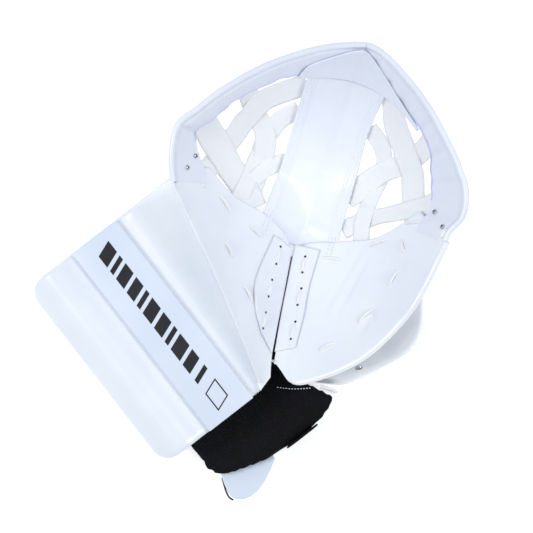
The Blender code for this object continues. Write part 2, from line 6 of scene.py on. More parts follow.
# %% Load the jointed model
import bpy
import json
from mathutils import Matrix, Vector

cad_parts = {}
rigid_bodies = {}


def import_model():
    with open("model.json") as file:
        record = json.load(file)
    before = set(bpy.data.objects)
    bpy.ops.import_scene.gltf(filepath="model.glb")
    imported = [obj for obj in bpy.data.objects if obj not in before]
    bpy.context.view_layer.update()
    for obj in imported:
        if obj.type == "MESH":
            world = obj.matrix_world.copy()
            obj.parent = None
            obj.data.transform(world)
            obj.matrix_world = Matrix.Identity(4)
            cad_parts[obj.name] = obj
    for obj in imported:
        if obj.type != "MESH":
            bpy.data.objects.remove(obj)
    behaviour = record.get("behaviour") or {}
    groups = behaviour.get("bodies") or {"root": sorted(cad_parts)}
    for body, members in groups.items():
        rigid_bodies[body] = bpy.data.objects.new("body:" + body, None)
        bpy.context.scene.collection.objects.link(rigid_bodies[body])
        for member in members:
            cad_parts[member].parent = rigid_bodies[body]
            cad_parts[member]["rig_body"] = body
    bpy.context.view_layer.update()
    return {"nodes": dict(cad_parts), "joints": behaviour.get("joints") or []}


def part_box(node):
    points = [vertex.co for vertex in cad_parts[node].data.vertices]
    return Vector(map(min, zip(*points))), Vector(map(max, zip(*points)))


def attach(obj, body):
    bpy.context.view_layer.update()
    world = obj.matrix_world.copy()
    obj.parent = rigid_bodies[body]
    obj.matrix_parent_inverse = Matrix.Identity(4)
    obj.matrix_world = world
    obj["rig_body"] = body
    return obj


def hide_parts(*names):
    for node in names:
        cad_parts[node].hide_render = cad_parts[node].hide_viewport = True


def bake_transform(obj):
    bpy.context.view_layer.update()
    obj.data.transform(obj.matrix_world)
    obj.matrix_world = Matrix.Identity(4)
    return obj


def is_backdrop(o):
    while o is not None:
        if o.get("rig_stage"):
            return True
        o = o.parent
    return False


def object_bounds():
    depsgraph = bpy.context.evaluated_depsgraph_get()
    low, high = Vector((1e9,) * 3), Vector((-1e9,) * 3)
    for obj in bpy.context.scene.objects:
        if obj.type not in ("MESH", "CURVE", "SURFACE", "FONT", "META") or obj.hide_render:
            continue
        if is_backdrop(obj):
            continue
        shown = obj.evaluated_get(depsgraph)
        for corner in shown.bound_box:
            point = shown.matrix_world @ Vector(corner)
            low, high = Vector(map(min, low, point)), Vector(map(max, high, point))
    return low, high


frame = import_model()

# %% [markdown]
# Glove makers think in millimetres, so the pattern pieces below are in millimetres on a working
# grid: x from wrist to fingertips, y from little finger to thumb, z out of the palm. The strip
# on the cuff has square edges whose place on that grid is known, so it ties the two together.

# %% Working grid
import json
import math

import bmesh
import bpy
import numpy as np
from mathutils import Vector
from mathutils.bvhtree import BVHTree

MM = 0.001
STRIP_EDGE = (-119.5, -93.0)
strip_low, strip_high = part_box("cuff_strip")
SHIFT = np.array([strip_low[0] / MM - STRIP_EDGE[0], strip_low[1] / MM - STRIP_EDGE[1], 0.0])
scene = bpy.context.scene
print("working grid shifted by", SHIFT.round(2), "mm")


def world(points):
    """Working millimetres to metres in the glove's own frame."""
    return (np.asarray(points, float) + SHIFT) * MM


# %% [markdown]
# Sewn edges are fair curves. A Catmull-Rom curve passes through a few chosen points and stays
# smooth between them, which is how a pattern cutter's flexible rule behaves.

# %% Fair curves
def spline(points, s):
    """Points of a smooth curve through the given ones, for an array s from 0 to 1."""
    p = np.asarray(points, float)
    last = len(p) - 1
    place = np.clip(s, 0, 1) * last
    i = np.minimum(place.astype(int), last - 1)
    t = (place - i)[..., None]
    padded = np.vstack([2 * p[0] - p[1], p, 2 * p[-1] - p[-2]])
    p0, p1, p2, p3 = (padded[i + k] for k in range(4))
    return 0.5 * (2 * p1 + (p2 - p0) * t + (2 * p0 - 5 * p1 + 4 * p2 - p3) * t ** 2
                  + (3 * p1 - p0 - 3 * p2 + p3) * t ** 3)


def evenly(points, count):
    """The same curve as count points at equal steps along its length."""
    fine = spline(points, np.linspace(0, 1, 400))
    run = np.concatenate([[0], np.cumsum(np.linalg.norm(np.diff(fine, axis=0), axis=1))])
    want = np.linspace(0, run[-1], count)
    return np.column_stack([np.interp(want, run, fine[:, k]) for k in range(fine.shape[1])])


def smooth_step(t):
    t = np.clip(t, 0, 1)
    return t * t * (3 - 2 * t)


# %% [markdown]
# The whole pocket is one bowl. Its edge is given all the way round by a few points with a height
# and a steepness, and every wall falls from that edge to the deepest point. Palm, thumb, band,
# T and webbing are all cut from this one surface, so their neighbours always meet.

# %% The bowl
CENTRE = np.array([95.0, 22.0])
FLOOR_Z = 2.6
EDGE = (
    (-57, -91, 72, 1.30), (-38, -28, 92, 1.45), (-18, 51, 110, 1.50), (-5, 108, 120, 1.60),
    (12, 132, 125, 1.90), (31, 147, 128, 2.20), (56, 147.5, 131, 2.30), (101, 145, 136, 2.30),
    (150, 133, 139, 2.20), (192, 113, 140, 2.20), (205, 104, 140, 2.20), (216, 91, 138, 2.20),
    (222, 46, 136, 2.20), (218, -4, 136, 2.20), (209, -43, 136, 2.00), (202, -61, 135, 1.80),
    (186, -78, 133, 1.60), (161, -85, 128, 1.50), (113, -109, 116, 1.50), (82, -119, 108, 1.50),
    (43, -124, 97, 1.50), (12, -120, 88, 1.40), (-17, -112, 79, 1.35), (-33, -104, 74, 1.30),
)


def edge_table():
    """Angle, radius, height and steepness of the bowl's edge, smoothed between its points."""
    rows = np.array([(math.atan2(y - CENTRE[1], x - CENTRE[0]),
                      math.hypot(x - CENTRE[0], y - CENTRE[1]), z, p) for x, y, z, p in EDGE])
    rows = rows[np.argsort(rows[:, 0])]
    turn = np.array([2 * math.pi, 0, 0, 0])
    ring = np.vstack([rows[-2:] - turn, rows, rows[:2] + turn])
    fine = spline(ring, np.linspace(0, 1, 1500))
    return fine[np.argsort(fine[:, 0])]


TABLE = edge_table()


def edge_at(angle):
    """Radius, height and steepness of the bowl's edge in each direction."""
    return [np.interp(angle, TABLE[:, 0], TABLE[:, k]) for k in (1, 2, 3)]


def bowl_height(x, y):
    radius, height, steep = edge_at(np.arctan2(y - CENTRE[1], x - CENTRE[0]))
    share = np.hypot(x - CENTRE[0], y - CENTRE[1]) / radius
    steep = steep + (2.0 - steep) * np.exp(-(share / 0.22) ** 2)
    return FLOOR_Z + (height - FLOOR_Z) * share ** steep


def under(height, x, y, depth, step=1.5):
    """Points at a depth under a surface z = height(x, y), measured square to it."""
    slope_x = (height(x + step, y) - height(x - step, y)) / (2 * step)
    slope_y = (height(x, y + step) - height(x, y - step)) / (2 * step)
    normal = np.stack([-slope_x, -slope_y, np.ones_like(slope_x)], axis=-1)
    normal /= np.linalg.norm(normal, axis=-1, keepdims=True)
    surface = np.stack([x, y, height(x, y)], axis=-1)
    return surface - normal * np.broadcast_to(depth, np.shape(x))[..., None]


print("pocket depth below its edge: %.0f mm" % (TABLE[:, 2].max() - FLOOR_Z))

# %% [markdown]
# The cuff and the outside of the thumb are one moulded shell on this glove. Across it, from the
# wrist inwards: a rolled lip, a shallow valley, a flat board, a second valley and then a hollow
# curve up to the thumb's ridge, where the shell meets the pocket.

# %% The cuff's profile
CUFF_X = (-172.0, -146.0, -120.0, -100.0, -80.0, -62.0)
CUFF_Z = (59.0, 75.5, 68.0, 68.0, 68.0, 65.5)
CUFF_Y = (-92.5, 114.5)
RIDGE = np.array(EDGE[:5], float)


def ridge_at(y):
    """x and height of the thumb's ridge."""
    return np.interp(y, RIDGE[:, 1], RIDGE[:, 0]), np.interp(y, RIDGE[:, 1], RIDGE[:, 2])


def cuff_height(x, y):
    lip = CUFF_Z[0] + (CUFF_Z[1] - CUFF_Z[0]) * np.sin(
        np.clip((x - CUFF_X[0]) / (CUFF_X[1] - CUFF_X[0]), 0, 1) * math.pi / 2)
    z = lip
    for k in range(1, 5):
        share = smooth_step((x - CUFF_X[k]) / (CUFF_X[k + 1] - CUFF_X[k]))
        z = z + (CUFF_Z[k + 1] - CUFF_Z[k]) * share
    ridge_x, ridge_z = ridge_at(y)
    share = np.clip((x - CUFF_X[5]) / np.maximum(ridge_x - CUFF_X[5], 1.0), 0, 1)
    return z + (ridge_z - CUFF_Z[5]) * share ** 1.7


# %% [markdown]
# Two helpers make nearly every piece. One bends a flat grid of quads to a place function, and
# keeps the grid's own coordinates, in metres, as a UV map for weaves and stitches. The other
# turns the finished bmesh into an object with its material. Solidify gives leather its thickness.

# %% Grid and object helpers
def finish_piece(name, bm, look, smooth=True):
    """A new object from a bmesh, with its material."""
    mesh = bpy.data.meshes.new(name)
    bm.to_mesh(mesh)
    bm.free()
    made = bpy.data.objects.new(name, mesh)
    scene.collection.objects.link(made)
    mesh.materials.append(look)
    if smooth:
        mesh.shade_smooth()
        mesh.set_sharp_from_angle(angle=math.radians(55))
    return made


def bent_grid(place, along, across, size=(0.1, 0.1), wrap=False):
    """A bmesh grid whose corners lie at place(u, v), its UV map measured in metres."""
    bm = bmesh.new()
    bmesh.ops.create_grid(bm, x_segments=along, y_segments=across, size=0.5)
    bm.verts.ensure_lookup_table()
    flat = np.array([v.co[:2] for v in bm.verts]) + 0.5
    layer = bm.loops.layers.uv.new("flat")
    for face in bm.faces:
        for loop in face.loops:
            u, v = flat[loop.vert.index]
            loop[layer].uv = (u * size[0], v * size[1])
    points = world(place(flat[:, 0], flat[:, 1]))
    for vert, point in zip(bm.verts, points):
        vert.co = point
    if wrap:
        bmesh.ops.remove_doubles(bm, verts=bm.verts, dist=0.00002)
    return bm


def face_up(bm):
    """Turn an open sheet so that its front faces out of the palm."""
    bm.normal_update()
    if sum(f.normal.z * f.calc_area() for f in bm.faces) < 0:
        bmesh.ops.reverse_faces(bm, faces=bm.faces)
    return bm


def thicken(made, thickness, levels=0, bevel=0.0):
    """Leather thickness below the front, then a fine rounding of the cut edge."""
    wall = made.modifiers.new("thickness", "SOLIDIFY")
    wall.thickness = thickness * MM
    wall.offset = -1.0
    if bevel:
        edge = made.modifiers.new("cut edge", "BEVEL")
        edge.width, edge.segments, edge.limit_method = bevel * MM, 2, "ANGLE"
        edge.angle_limit = math.radians(50)
    if levels:
        fine = made.modifiers.new("fine", "SUBSURF")
        fine.levels = fine.render_levels = levels
    return made


def tube(bm, path, radius, sides=8):
    """Add a closed round tube along a path of working points to a bmesh."""
    path = np.asarray(path, float)
    ahead = np.gradient(path, axis=0)
    ahead /= np.linalg.norm(ahead, axis=1, keepdims=True)
    side = np.cross(ahead, (0.0, 0.0, 1.0))
    side /= np.maximum(np.linalg.norm(side, axis=1, keepdims=True), 1e-6)
    up = np.cross(side, ahead)
    rings = []
    for p, s, w in zip(path, side, up):
        turns = [2 * math.pi * k / sides for k in range(sides)]
        rings.append([bm.verts.new(world(p + (s * math.cos(a) + w * math.sin(a)) * radius)) for a in turns])
    for ring in (rings[0], rings[-1]):
        bm.faces.new(ring)
    loops = [[bm.edges.get((r[k], r[k - 1])) or bm.edges.new((r[k], r[k - 1])) for k in range(sides)]
             for r in rings]
    for low, high in zip(loops, loops[1:]):
        bmesh.ops.bridge_loops(bm, edges=low + high)
    return bm


# %% [markdown]
# Every finish is a node material. Most share one recipe: a colour that drifts a little over the
# piece, a roughness that drifts with it, and a bump for the grain. The patterns read Object
# coordinates, so they stay on the piece in every view, and the UV map where a weave follows it.

# %% Material helper
def new_look(name, colour, roughness, metallic=0.0, coat=0.0, sheen=0.0):
    look = bpy.data.materials.new(name)
    look.use_nodes = True
    nodes, links = look.node_tree.nodes, look.node_tree.links
    shader = nodes["Principled BSDF"]
    shader.inputs["Roughness"].default_value = roughness
    shader.inputs["Metallic"].default_value = metallic
    shader.inputs["Coat Weight"].default_value = coat
    shader.inputs["Coat Roughness"].default_value = 0.12
    shader.inputs["Sheen Weight"].default_value = sheen
    shader.inputs["Base Color"].default_value = (*colour, 1)
    return look, nodes, links, shader


def place_node(nodes, links, uv, scale):
    """Texture coordinates on the piece itself, scaled to a pattern's size."""
    source = nodes.new("ShaderNodeTexCoord")
    mapping = nodes.new("ShaderNodeMapping")
    mapping.inputs["Scale"].default_value = scale
    links.new(source.outputs["UV" if uv else "Object"], mapping.inputs["Vector"])
    return mapping.outputs["Vector"]


def drift(nodes, links, shader, dark, light, rough, scale=14.0):
    """Let colour and roughness wander softly over the piece."""
    noise = nodes.new("ShaderNodeTexNoise")
    noise.inputs["Scale"].default_value = scale
    noise.inputs["Detail"].default_value = 5.0
    links.new(place_node(nodes, links, False, (1, 1, 1)), noise.inputs["Vector"])
    ramp = nodes.new("ShaderNodeValToRGB")
    ramp.color_ramp.elements[0].color = (*dark, 1)
    ramp.color_ramp.elements[1].color = (*light, 1)
    ramp.color_ramp.elements[0].position, ramp.color_ramp.elements[1].position = 0.3, 0.7
    links.new(noise.outputs["Fac"], ramp.inputs["Fac"])
    links.new(ramp.outputs["Color"], shader.inputs["Base Color"])
    spread = nodes.new("ShaderNodeMapRange")
    spread.inputs["To Min"].default_value, spread.inputs["To Max"].default_value = rough
    links.new(noise.outputs["Fac"], spread.inputs["Value"])
    links.new(spread.outputs["Result"], shader.inputs["Roughness"])
    return ramp


def add_bump(nodes, links, shader, height, strength, distance, below=None):
    bump = nodes.new("ShaderNodeBump")
    bump.inputs["Strength"].default_value = strength
    bump.inputs["Distance"].default_value = distance * MM
    links.new(height, bump.inputs["Height"])
    if below:
        links.new(below.outputs["Normal"], bump.inputs["Normal"])
    links.new(bump.outputs["Normal"], shader.inputs["Normal"])
    return bump


# %% [markdown]
# Goalkeeper leather is a polyurethane skin on a woven back: bright white, with a fine pebble
# grain, faint wrinkles and a wet-looking gloss. The grain is a cell pattern about a millimetre
# across, and a broad noise under it stands for the slight waviness of leather over foam.

# %% Leather looks
def leather(name, dark, light, rough, coat, grain=0.10, wave=0.25):
    look, nodes, links, shader = new_look(name, light, rough[0], coat=coat)
    drift(nodes, links, shader, dark, light, rough)
    cells = nodes.new("ShaderNodeTexVoronoi")
    cells.inputs["Scale"].default_value = 1100.0
    links.new(place_node(nodes, links, False, (1, 1, 1)), cells.inputs["Vector"])
    fine = add_bump(nodes, links, shader, cells.outputs["Distance"], grain, 0.12)
    broad = nodes.new("ShaderNodeTexNoise")
    broad.inputs["Scale"].default_value = 55.0
    broad.inputs["Detail"].default_value = 3.0
    links.new(place_node(nodes, links, False, (1, 1, 1)), broad.inputs["Vector"])
    add_bump(nodes, links, shader, broad.outputs["Fac"], wave, 1.0, below=fine)
    return look


SHELL = leather("glossy shell leather", (0.84, 0.88, 0.95), (0.90, 0.93, 0.975), (0.20, 0.30), 0.3)
TRIM = leather("satin trim leather", (0.82, 0.85, 0.92), (0.87, 0.90, 0.95), (0.36, 0.46), 0.1, 0.15, 0.1)
SATIN = leather("name strip leather", (0.68, 0.75, 0.88), (0.74, 0.81, 0.92), (0.34, 0.42), 0.1, 0.12, 0.1)
# The cuff's skin is the shell leather painted a little darker: painted shade, because the flat cuff faces the lamps.
CUFF_SHADED_SKIN = leather("cuff shell leather with painted shade", (0.81, 0.85, 0.93), (0.87, 0.91, 0.96), (0.20, 0.30), 0.35)
BAND = leather("soft band leather", (0.78, 0.82, 0.92), (0.84, 0.87, 0.94), (0.24, 0.36), 0.25, 0.15, 0.4)
BACK = leather("back leather", (0.78, 0.80, 0.85), (0.85, 0.86, 0.89), (0.38, 0.5), 0.05, 0.2, 0.3)
T_LEATHER = leather("T panel leather", (0.84, 0.87, 0.96), (0.90, 0.93, 0.985), (0.3, 0.42), 0.1, 0.15, 0.3)
LILAC = leather("lilac binding", (0.62, 0.61, 0.88), (0.70, 0.69, 0.92), (0.4, 0.5), 0.0, 0.1, 0.1)
print("six leathers made")

# %% [markdown]
# Woven and knitted goods need a real thread pattern. Two crossed wave textures on the UV map make
# a plain weave whose threads run along and across each strap; the black lining is a knit, and so
# are the sleeves for the fingers.

# %% Cloth looks
def woven(name, dark, light, pitch, rough, uv=True, sheen=0.2, depth=0.35):
    """Plain weave: ribs one way, then the other, with the given pitch in millimetres."""
    look, nodes, links, shader = new_look(name, light, rough[0], sheen=sheen)
    ramp = drift(nodes, links, shader, dark, light, rough, 60.0)
    heights = []
    for turn in ("X", "Y"):
        wave = nodes.new("ShaderNodeTexWave")
        wave.bands_direction = turn
        wave.inputs["Scale"].default_value = 1.0 / (pitch * MM * 3.2)
        wave.inputs["Distortion"].default_value = 0.4
        links.new(place_node(nodes, links, uv, (1, 1, 1)), wave.inputs["Vector"])
        heights.append(wave.outputs["Fac"])
    cross = nodes.new("ShaderNodeMath")
    cross.operation = "MULTIPLY"
    links.new(heights[0], cross.inputs[0])
    links.new(heights[1], cross.inputs[1])
    shade = nodes.new("ShaderNodeMixRGB")
    shade.blend_type = "MULTIPLY"
    shade.inputs["Fac"].default_value = 0.05
    links.new(ramp.outputs["Color"], shade.inputs["Color1"])
    links.new(cross.outputs["Value"], shade.inputs["Color2"])
    links.new(shade.outputs["Color"], shader.inputs["Base Color"])
    add_bump(nodes, links, shader, cross.outputs["Value"], 0.6, depth)
    return look


WEBBING = woven("nylon webbing", (0.97, 0.985, 0.999), (0.985, 0.993, 0.999), 1.3, (0.45, 0.6))
LACE = woven("waxed lace", (0.96, 0.97, 0.98), (0.99, 0.99, 0.995), 0.9, (0.5, 0.65), uv=False)
BLACK = woven("black lining", (0.002, 0.002, 0.003), (0.005, 0.005, 0.007), 1.6, (0.8, 0.95), uv=False, sheen=0.0)
BLACK.node_tree.nodes["Principled BSDF"].inputs["Specular IOR Level"].default_value = 0.2
LINER = woven("sleeve knit", (0.16, 0.17, 0.19), (0.26, 0.27, 0.30), 1.4, (0.8, 0.95), uv=False)
print("four cloths made")

# %% [markdown]
# The hard goods: an ivory moulded guard that light sinks into a little, nickel-plated eyelets and
# rivets with fine scratches, a printed black for the bars on the cuff, and closed-cell foam.

# %% Hard looks
def moulded(name, dark, light, rough, metallic=0.0, coat=0.0, scratch=0.05, scale=220.0, milky=0.0):
    look, nodes, links, shader = new_look(name, light, rough[0], metallic, coat)
    drift(nodes, links, shader, dark, light, rough, 30.0)
    shader.inputs["Subsurface Weight"].default_value = milky
    shader.inputs["Subsurface Scale"].default_value = 0.004
    noise = nodes.new("ShaderNodeTexNoise")
    noise.inputs["Scale"].default_value = scale
    noise.inputs["Detail"].default_value = 6.0
    links.new(place_node(nodes, links, False, (1, 1, 1)), noise.inputs["Vector"])
    add_bump(nodes, links, shader, noise.outputs["Fac"], scratch, 0.2)
    return look


IVORY = moulded("ivory guard plastic", (0.70, 0.73, 0.77), (0.80, 0.82, 0.85), (0.16, 0.28), coat=0.4, milky=0.2)
NICKEL = moulded("nickel plate", (0.42, 0.43, 0.46), (0.66, 0.67, 0.70), (0.18, 0.34), metallic=1.0, scratch=0.15)
PRINT = moulded("printed black", (0.008, 0.008, 0.010), (0.016, 0.016, 0.020), (0.28, 0.4))
BEAD = moulded("white rivet plastic", (0.80, 0.82, 0.85), (0.88, 0.89, 0.91), (0.2, 0.3))
FOAM = moulded("closed-cell foam", (0.10, 0.10, 0.11), (0.16, 0.16, 0.17), (0.85, 0.95), scratch=0.4, scale=900.0)
BOARD = moulded("black board", (0.02, 0.02, 0.022), (0.04, 0.04, 0.045), (0.4, 0.55), scratch=0.2, scale=600.0)
print("hard finishes made")

# %% [markdown]
# A piece that crosses the fold between palm and thumb would have to bend with it. The fold's own point and axis are in
# the model and are read here, but no piece is bent: a piece without a body only has its placement baked into its mesh.

# %% The fold's joint
fold = next(j for j in frame["joints"] if j["name"] == "palm_break")
FOLD_POINT = Vector(fold["pos_m"])
FOLD_AXIS = Vector(fold["axis"]).normalized()


def bends(made):
    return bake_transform(made)


def dress(made, slot, *nodes, body=None):
    """Hide the imported parts the piece stands for and attach it to the body it moves with, or bake its placement when
    it has none; the finish slot is not used.
    """
    if nodes:
        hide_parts(*nodes)
    if body:
        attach(made, body)
    else:
        bends(made)
    return made


# %% [markdown]
# The palm is a smooth shell that hangs from the outer edge and rolls over it. It is made as a
# sheet between two edges, matched point to point: the rolled edge and the inner boundary. The
# sheet carries on past the edge in a half round and a short skirt, as the real leather does.

# %% Palm shell
PALM_EDGE = ((-34, -98), (-28, -106), (-15, -112), (12, -120.5), (43, -124), (82, -119), (113, -109), (158, -87))
PALM_INNER = ((-32.5, -79), (-30, -76.5), (-8, -56), (17, -33), (50, -10), (84, -30), (114, -47.5), (158, -52))
CREASES = (((98, -44), (28, -72), 2.2), ((100, -52), (34, -82), 2.4), ((38, -109), (76, -94), 2.6),
           ((102, -58), (122, -92), 4.0), ((60, -112), (70, -84), 3.0))


def crease_depth(x, y):
    """Shallow folds in the palm, each a soft groove along a straight line."""
    deep = np.zeros_like(x)
    for (xa, ya), (xb, yb), width in CREASES:
        run = np.array([xb - xa, yb - ya])
        length = np.linalg.norm(run)
        t = ((x - xa) * run[0] + (y - ya) * run[1]) / length ** 2
        off = np.abs((x - xa) * run[1] - (y - ya) * run[0]) / length
        deep += np.exp(-(off / width) ** 2) * np.exp(-((t - 0.5) / 0.42) ** 4)
    return deep


def rolled(edge, inner, radius, skirt, wrinkle):
    """Place function of a sheet that rolls over its outer edge: v runs from the skirt inwards."""
    roll_share, skirt_share = 0.10, 0.12

    def place(u, v):
        out, into = spline(edge, u), spline(inner, u)
        face = np.clip((v - roll_share - skirt_share) / (1 - roll_share - skirt_share), 0, 1)
        turn = np.clip((roll_share + skirt_share - v) / roll_share, 0, 1) * math.pi
        down = np.clip((skirt_share - v) / skirt_share, 0, 1) * skirt
        toward = into - out
        length = np.linalg.norm(toward, axis=1, keepdims=True)
        flat = out + toward * face[:, None] + toward / length * (down * 0.55 + radius * 0.2)[:, None]
        depth = radius * (1 - np.cos(turn)) + wrinkle(flat[:, 0], flat[:, 1]) * (v > 0.25)
        base = under(bowl_height, flat[:, 0], flat[:, 1], depth)
        ahead = under(bowl_height, *(flat - toward / length).T, depth) - base
        ahead /= np.linalg.norm(ahead, axis=1, keepdims=True)
        return base + ahead * (radius * np.sin(turn))[:, None]

    return place


palm = finish_piece("palm", face_up(bent_grid(
    rolled(PALM_EDGE, PALM_INNER, 3.0, 14.0, lambda x, y: 1.3 * crease_depth(x, y)), 110, 64)), SHELL)
thicken(palm, 2.0, levels=0)
dress(palm, "shell_leather", "palm_shell", body="hand_side")
print("palm:", len(palm.data.polygons), "faces")

# %% [markdown]
# The thumb's inner face is the palm's mirror partner across the break. It starts at the ridge,
# where it is folded over a cord and sewn to the cuff's shell, and falls to the break.

# %% Thumb face
THUMB_EDGE = ((-57.5, -91.5), (-53.5, -76), (-46, -55), (-37, -26), (-28, 14), (-18, 51), (-11, 80), (-5, 107))
THUMB_INNER = ((-45, -88), (-35.5, -77), (-14, -55), (11, -32), (43, -5), (45, 28), (31, 66), (29, 100))
thumb = finish_piece("thumb_inner_face", face_up(bent_grid(
    rolled(THUMB_EDGE, THUMB_INNER, 1.8, 6.0, lambda x, y: 0.0 * x), 100, 44)), SHELL)
thicken(thumb, 1.8)
dress(thumb, "shell_leather", "thumb_face", body="thumb_side")

# %% [markdown]
# The cuff is a foam board wrapped in the same skin, coloured a little darker than the thumb's shell as painted shade on
# its flat top. Its top follows the moulded profile and its
#  back is flat, so a grid is bent to the profile, pulled down to the back plane and bevelled all
#  round. Where the strip covers it, the top stays a little low to leave room for the thumb's shell.

# %% Cuff board
BOARD_RIGHT, BOARD_BACK = -74.0, 50.2
CORNER = 17.0


def cuff_left(u, grow=0.0):
    """Outer edge of the cuff, rounded at its two corners."""
    to_end = np.minimum(u, 1 - u) * (CUFF_Y[1] - CUFF_Y[0])
    short = np.maximum(CORNER - to_end, 0)
    return CUFF_X[0] - grow + CORNER - np.sqrt(CORNER ** 2 - short ** 2)


def board_place(u, v):
    even = 0.5 - 0.5 * np.cos(np.pi * u)
    u = u * 0.6 + even * 0.4
    y = CUFF_Y[0] + (CUFF_Y[1] - CUFF_Y[0]) * u
    left = cuff_left(u)
    x = left + (BOARD_RIGHT - left) * v
    z = cuff_height(np.clip(x, CUFF_X[0], None), y)
    edge_share = np.clip(np.minimum(u, 1 - u) * (CUFF_Y[1] - CUFF_Y[0]) / 5.0, 0, 1)
    rounded = 3.5 * (1 - np.sqrt(1 - (1 - edge_share) ** 2))
    return np.stack([x, y, z - rounded], axis=-1)


bm = face_up(bent_grid(board_place, 90, 70))
grown = bmesh.ops.extrude_face_region(bm, geom=bm.faces[:])
for item in grown["geom"]:
    if isinstance(item, bmesh.types.BMVert):
        item.co.z = BOARD_BACK * MM
bmesh.ops.recalc_face_normals(bm, faces=bm.faces)
rim = [e for e in bm.edges if len(e.link_faces) == 2 and e.calc_face_angle(0) > math.radians(50)]
bmesh.ops.bevel(bm, geom=rim, offset=2.4 * MM, affect="EDGES", segments=4, profile=0.5, material=-1)
cuff = finish_piece("cuff", bm, CUFF_SHADED_SKIN)
dress(cuff, "shell_leather", "cuff_shell", "cuff_back_cover", "cuff_foam", "cuff_stiffener", body="thumb_side")

# %% [markdown]
# The outer thumb is the hollow curve between board and ridge. It is thin, tucks under the strip
# at one side and meets the inner face along the ridge at the other.

# %% Outer thumb
def outer_thumb_place(u, v):
    y = CUFF_Y[0] + 0.5 + (CUFF_Y[1] - CUFF_Y[0] - 1.0) * u
    ridge_x, ridge_z = ridge_at(y)
    right = np.maximum(ridge_x - 1.2, BOARD_RIGHT + 9)
    x = BOARD_RIGHT - 1.0 + (right - BOARD_RIGHT + 1.0) * v
    z = cuff_height(x, y)
    end = np.clip(np.minimum(u, 1 - u) * 207 / 4.0, 0, 1)
    return np.stack([x, y, z - 2.5 * (1 - np.sqrt(1 - (1 - end) ** 2))], axis=-1)


outer = finish_piece("outer_thumb", face_up(bent_grid(outer_thumb_place, 90, 40)), SHELL)
thicken(outer, 2.0)
dress(outer, "shell_leather", body="thumb_side")


# %% [markdown]
# Where the shell meets the inner face, a thin cord is folded into the seam. It gives the thumb
# its one crisp bright edge.

# %% Ridge cord
y = np.linspace(CUFF_Y[0] + 7.0, CUFF_Y[1] - 6.0, 120)
ridge_line = evenly(RIDGE[:, :3], 400)
x, z = (np.interp(y, ridge_line[:, 1], ridge_line[:, k]) for k in (0, 2))
cord = finish_piece("ridge_cord", tube(bmesh.new(), np.column_stack([x - 0.6, y, z - 0.1]), 0.95), TRIM)
dress(cord, "trim_leather", body="thumb_side")

# %% [markdown]
# The satin strip across the cuff is where a maker prints a name. Here it carries plain slanted
# bars. The strip's own node gives its box, and the bars are thin prints standing 0.15 mm proud.

# %% Cuff strip and its bars
def slab(name, low, high, look, bevel=0.6):
    bm = bmesh.new()
    bmesh.ops.create_cube(bm, size=1.0)
    low, high = Vector(low), Vector(high)
    for vert in bm.verts:
        vert.co = Vector([low[i] + (high[i] - low[i]) * (vert.co[i] + 0.5) for i in range(3)])
    bmesh.ops.bevel(bm, geom=bm.edges[:], offset=bevel * MM, affect="EDGES", segments=3, profile=0.5,
                    material=-1)
    return finish_piece(name, bm, look)


strip = slab("cuff_name_strip", (*strip_low[:2], strip_low[2] - 2.5 * MM), strip_high, SATIN, 0.9)
dress(strip, "trim_leather", "cuff_strip", body="thumb_side")
STRIP_TOP = strip_high[2] / MM
BAR_X = (-101.5, -85.5)
BAR_SLANT = 6.0
BARS = ((87, 13), (78, 5), (62, 12), (47, 11), (38, 5), (21, 13), (5, 12), (-4, 5), (-22, 14), (-37, 11), (-49, 5))
OUTLINE_BAR = (-80, 20)


def slanted_bar(bm, y, length, x_span=BAR_X, slant=BAR_SLANT):
    """A thin slanted print on the strip's top face."""
    made = bmesh.ops.create_cube(bm, size=1.0)
    for vert in made["verts"]:
        x = x_span[0] + (x_span[1] - x_span[0]) * (vert.co.x + 0.5)
        share = (x - BAR_X[0]) / (BAR_X[1] - BAR_X[0])
        vert.co = world((x, y + length * (vert.co.y + 0.5) + slant * (share - 0.5),
                         STRIP_TOP + 0.15 * (vert.co.z + 0.5) + 0.01))


bm = bmesh.new()
for start, length in BARS:
    slanted_bar(bm, start, length)
low, length = OUTLINE_BAR
for start in (low, low + length - 1.2):
    slanted_bar(bm, start, 1.2)
for x_span in ((BAR_X[0], BAR_X[0] + 1.2), (BAR_X[1] - 1.2, BAR_X[1])):
    slanted_bar(bm, low + 1.2, length - 2.4, x_span)
bars = finish_piece("cuff_bars", bm, PRINT, smooth=False)
dress(bars, "trim_leather", body="thumb_side")

# %% [markdown]
# The perimeter band is folded leather over a soft core. Its section is a flattened loop: up the
# inside of the bowl, round over the edge, and back down the outside. It is given the fold at the
# two corners and a few wrinkles where the leather is pushed together.

# %% Perimeter band
INNER_LINE = ((160, -58), (171, -50), (188, -28), (201, -7), (204, 20), (201.5, 46), (194, 64), (184, 83),
              (169, 97), (152, 110.5), (135, 121.5), (112, 128), (87, 133), (62, 132), (42, 133.5), (33, 122),
              (28, 110), (25, 98))
BAND_THICKNESS = 6.0


def ratio_table():
    fine = spline(INNER_LINE, np.linspace(0, 1, 300))
    angle = np.arctan2(fine[:, 1] - CENTRE[1], fine[:, 0] - CENTRE[0])
    ratio = np.hypot(fine[:, 0] - CENTRE[0], fine[:, 1] - CENTRE[1]) / edge_at(angle)[0]
    order = np.argsort(angle)
    return angle[order], ratio[order]


RATIO_ANGLE, RATIO = ratio_table()


def toward(x, y):
    return math.atan2(y - CENTRE[1], x - CENTRE[0])


